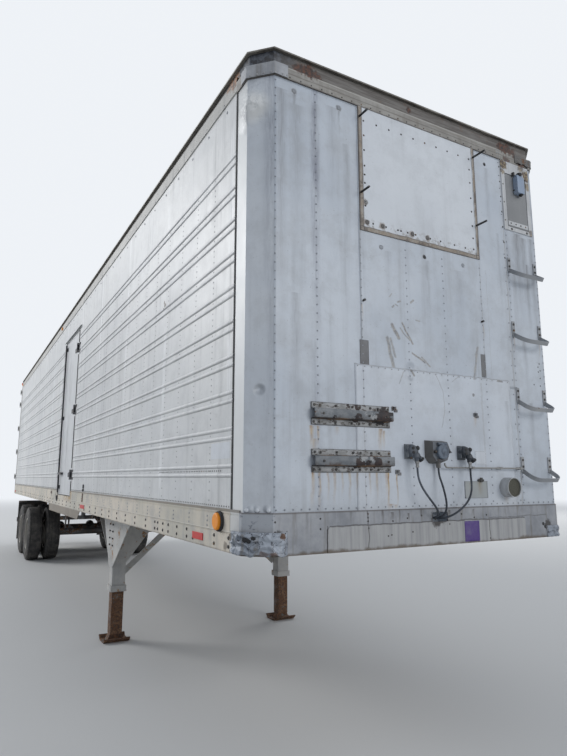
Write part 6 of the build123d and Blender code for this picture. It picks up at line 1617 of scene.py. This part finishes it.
# Routes of the nose hoses and the cable: across, rearwards from the nose plane, and up
HOSES = {
    "hose_service": [
        (-0.185, -0.058, 0.450), (-0.185, -0.058, 0.405), (-0.176, -0.070, 0.352), (-0.146, -0.080, 0.300),
        (-0.104, -0.082, 0.254), (-0.062, -0.074, 0.216), (-0.032, -0.054, 0.184), (-0.015, -0.020, 0.164),
        (-0.008, 0.028, 0.156), (-0.008, 0.076, 0.156),
    ],
    "receptacle_cable": [
        (0.010, -0.025, 0.450), (0.010, -0.025, 0.408), (0.016, -0.042, 0.360), (0.014, -0.062, 0.308),
        (0.020, -0.068, 0.258), (0.026, -0.062, 0.214), (0.028, -0.042, 0.180), (0.028, -0.008, 0.160),
        (0.028, 0.034, 0.153), (0.028, 0.076, 0.153),
    ],
    "hose_emergency": [
        (0.240, -0.058, 0.450), (0.240, -0.058, 0.402), (0.234, -0.069, 0.344), (0.212, -0.080, 0.292),
        (0.174, -0.086, 0.248), (0.132, -0.080, 0.212), (0.098, -0.062, 0.184), (0.076, -0.030, 0.164),
        (0.064, 0.004, 0.154), (0.060, 0.038, 0.150), (0.060, 0.076, 0.150),
    ],
}
# How thick each of them is
HOSE_D = 0.012


def hoses():
    """Each hose is one smooth curve along its route."""
    for name, points in HOSES.items():
        curve = bpy.data.curves.new(name + "_curve", "CURVE")
        curve.dimensions = "3D"
        curve.bevel_depth = HOSE_D / 2
        curve.bevel_resolution = 4
        curve.resolution_u = 10
        spline = curve.splines.new("NURBS")
        spline.points.add(len(points) - 1)
        for point, spot in zip(spline.points, points):
            point.co = (*at(*spot), 1)
        spline.order_u = 3
        spline.use_endpoint_u = True
        curve.materials.append(hose_black)
        made = bpy.data.objects.new(name + "_line", curve)
        bpy.context.scene.collection.objects.link(made)
        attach(made, BODY)
        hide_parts(name)


# Camera, as solved from the photograph, in body metres
CAMERA_PLACE = (-2.507, -2.642, 0.393)
CAMERA_TURN, CAMERA_PITCH = 0.507, 0.1704
CAMERA_LENS = 27.54


def camera():
    """The one camera, in the place above."""
    data = bpy.data.cameras.new("camera")
    data.lens = CAMERA_LENS
    data.sensor_width = 36
    data.clip_end = 200
    made = bpy.data.objects.new("camera", data)
    bpy.context.scene.collection.objects.link(made)
    made.location = at(*CAMERA_PLACE)
    turn, pitch = CAMERA_TURN, CAMERA_PITCH
    forward = Vector((math.sin(turn) * math.cos(pitch), math.cos(turn) * math.cos(pitch), math.sin(pitch)))
    made.rotation_euler = forward.to_track_quat("-Z", "Y").to_euler()
    bpy.context.scene.camera = made


# Light and backdrop, colours linear
FILL, FILL_STRENGTH = (0.82, 0.89, 1.0), 0.50
BACKDROP = (0.86, 0.89, 0.93)
LAMPS = (
    # name, place, target, size, power
    ("key", (-20, 20, 15), (0, 0, 1), (12, 9), 4200),
    ("front", (6, -26, 9), (0, -6, 2), (12, 8), 1300),
    ("road", (22, 10, 12), (0, 0, 2), (14, 8), 1600),
)


def mixed(nodes, share, first, second):
    """One surface that goes over into a second one."""
    made = nodes.node("ShaderNodeMixShader")
    for socket, value in zip(made.inputs, (share, first, second)):
        nodes.feed(socket, value)
    return made.outputs[0]


def pale_world(scene):
    """Soft fill for the object, and a pale backdrop for the camera and in reflections."""
    world = bpy.data.worlds.new("studio")
    world.use_nodes = True
    scene.world = world
    w = Nodes(world.node_tree)
    ray = w.node("ShaderNodeLightPath").outputs
    seen = w.math("MAXIMUM", ray["Is Camera Ray"], ray["Is Glossy Ray"])
    seen = w.math("MAXIMUM", seen, ray["Is Transmission Ray"])
    fill, backdrop = w.tree.nodes["Background"], w.node("ShaderNodeBackground")
    for background, colour, strength in ((fill, FILL, FILL_STRENGTH), (backdrop, BACKDROP, 1.0)):
        w.feed(background.inputs["Color"], colour)
        w.feed(background.inputs["Strength"], strength)
    surface = mixed(w, seen, fill.outputs[0], backdrop.outputs[0])
    w.feed(w.tree.nodes["World Output"].inputs["Surface"], surface)


def pale_floor():
    """Plain pale floor that goes over into the backdrop far away."""
    s = Shader("stage_floor", (0.62, 0.62, 0.61))
    material = s.done(0.9)
    away = s.vector("DISTANCE", s.stretched(1, 1, 0), (0, 0, 0))
    far = s.times(s.rise(away, 14.0, 45.0), s.node("ShaderNodeLightPath").outputs["Is Camera Ray"])
    glow = s.node("ShaderNodeEmission")
    s.feed(glow.inputs["Color"], BACKDROP)
    surface = mixed(s, far, s.bsdf.outputs[0], glow.outputs[0])
    s.feed(s.tree.nodes["Material Output"].inputs["Surface"], surface)
    corners = [(-80, -80, 0), (80, -80, 0), (80, 80, 0), (-80, 80, 0)]
    piece("stage_floor", corners, [(0, 1, 2, 3)], material)


def stage():
    """Pale floor, pale world and soft lamps."""
    scene = bpy.context.scene
    scene.view_settings.view_transform = "Standard"
    pale_floor()
    pale_world(scene)
    for name, place, target, size, power in LAMPS:
        data = bpy.data.lights.new(name, "AREA")
        data.shape = "RECTANGLE"
        data.size, data.size_y = size
        data.energy = power
        lamp = bpy.data.objects.new(name, data)
        scene.collection.objects.link(lamp)
        lamp.location = place
        lamp.rotation_euler = (Vector(target) - Vector(place)).to_track_quat("-Z", "Y").to_euler()


for build in (dress_nodes, camera, stage, hoses, nose_skins, nose_rivets, blank_panel_rivets, nose_plugs,
              nose_patches, nose_lugs, hat_sections, gladhand_castings, socket_details, corner_hatch,
              step_bolts, rail_caps, rail_rivets, side_rivets, side_strips, rail_bolts, lamp_rims,
              nose_wounds, corner_bulge, band_rivets, tyres, wheel_nuts, landing_bolts, door_seals,
              door_strips, door_rivets):
    build()
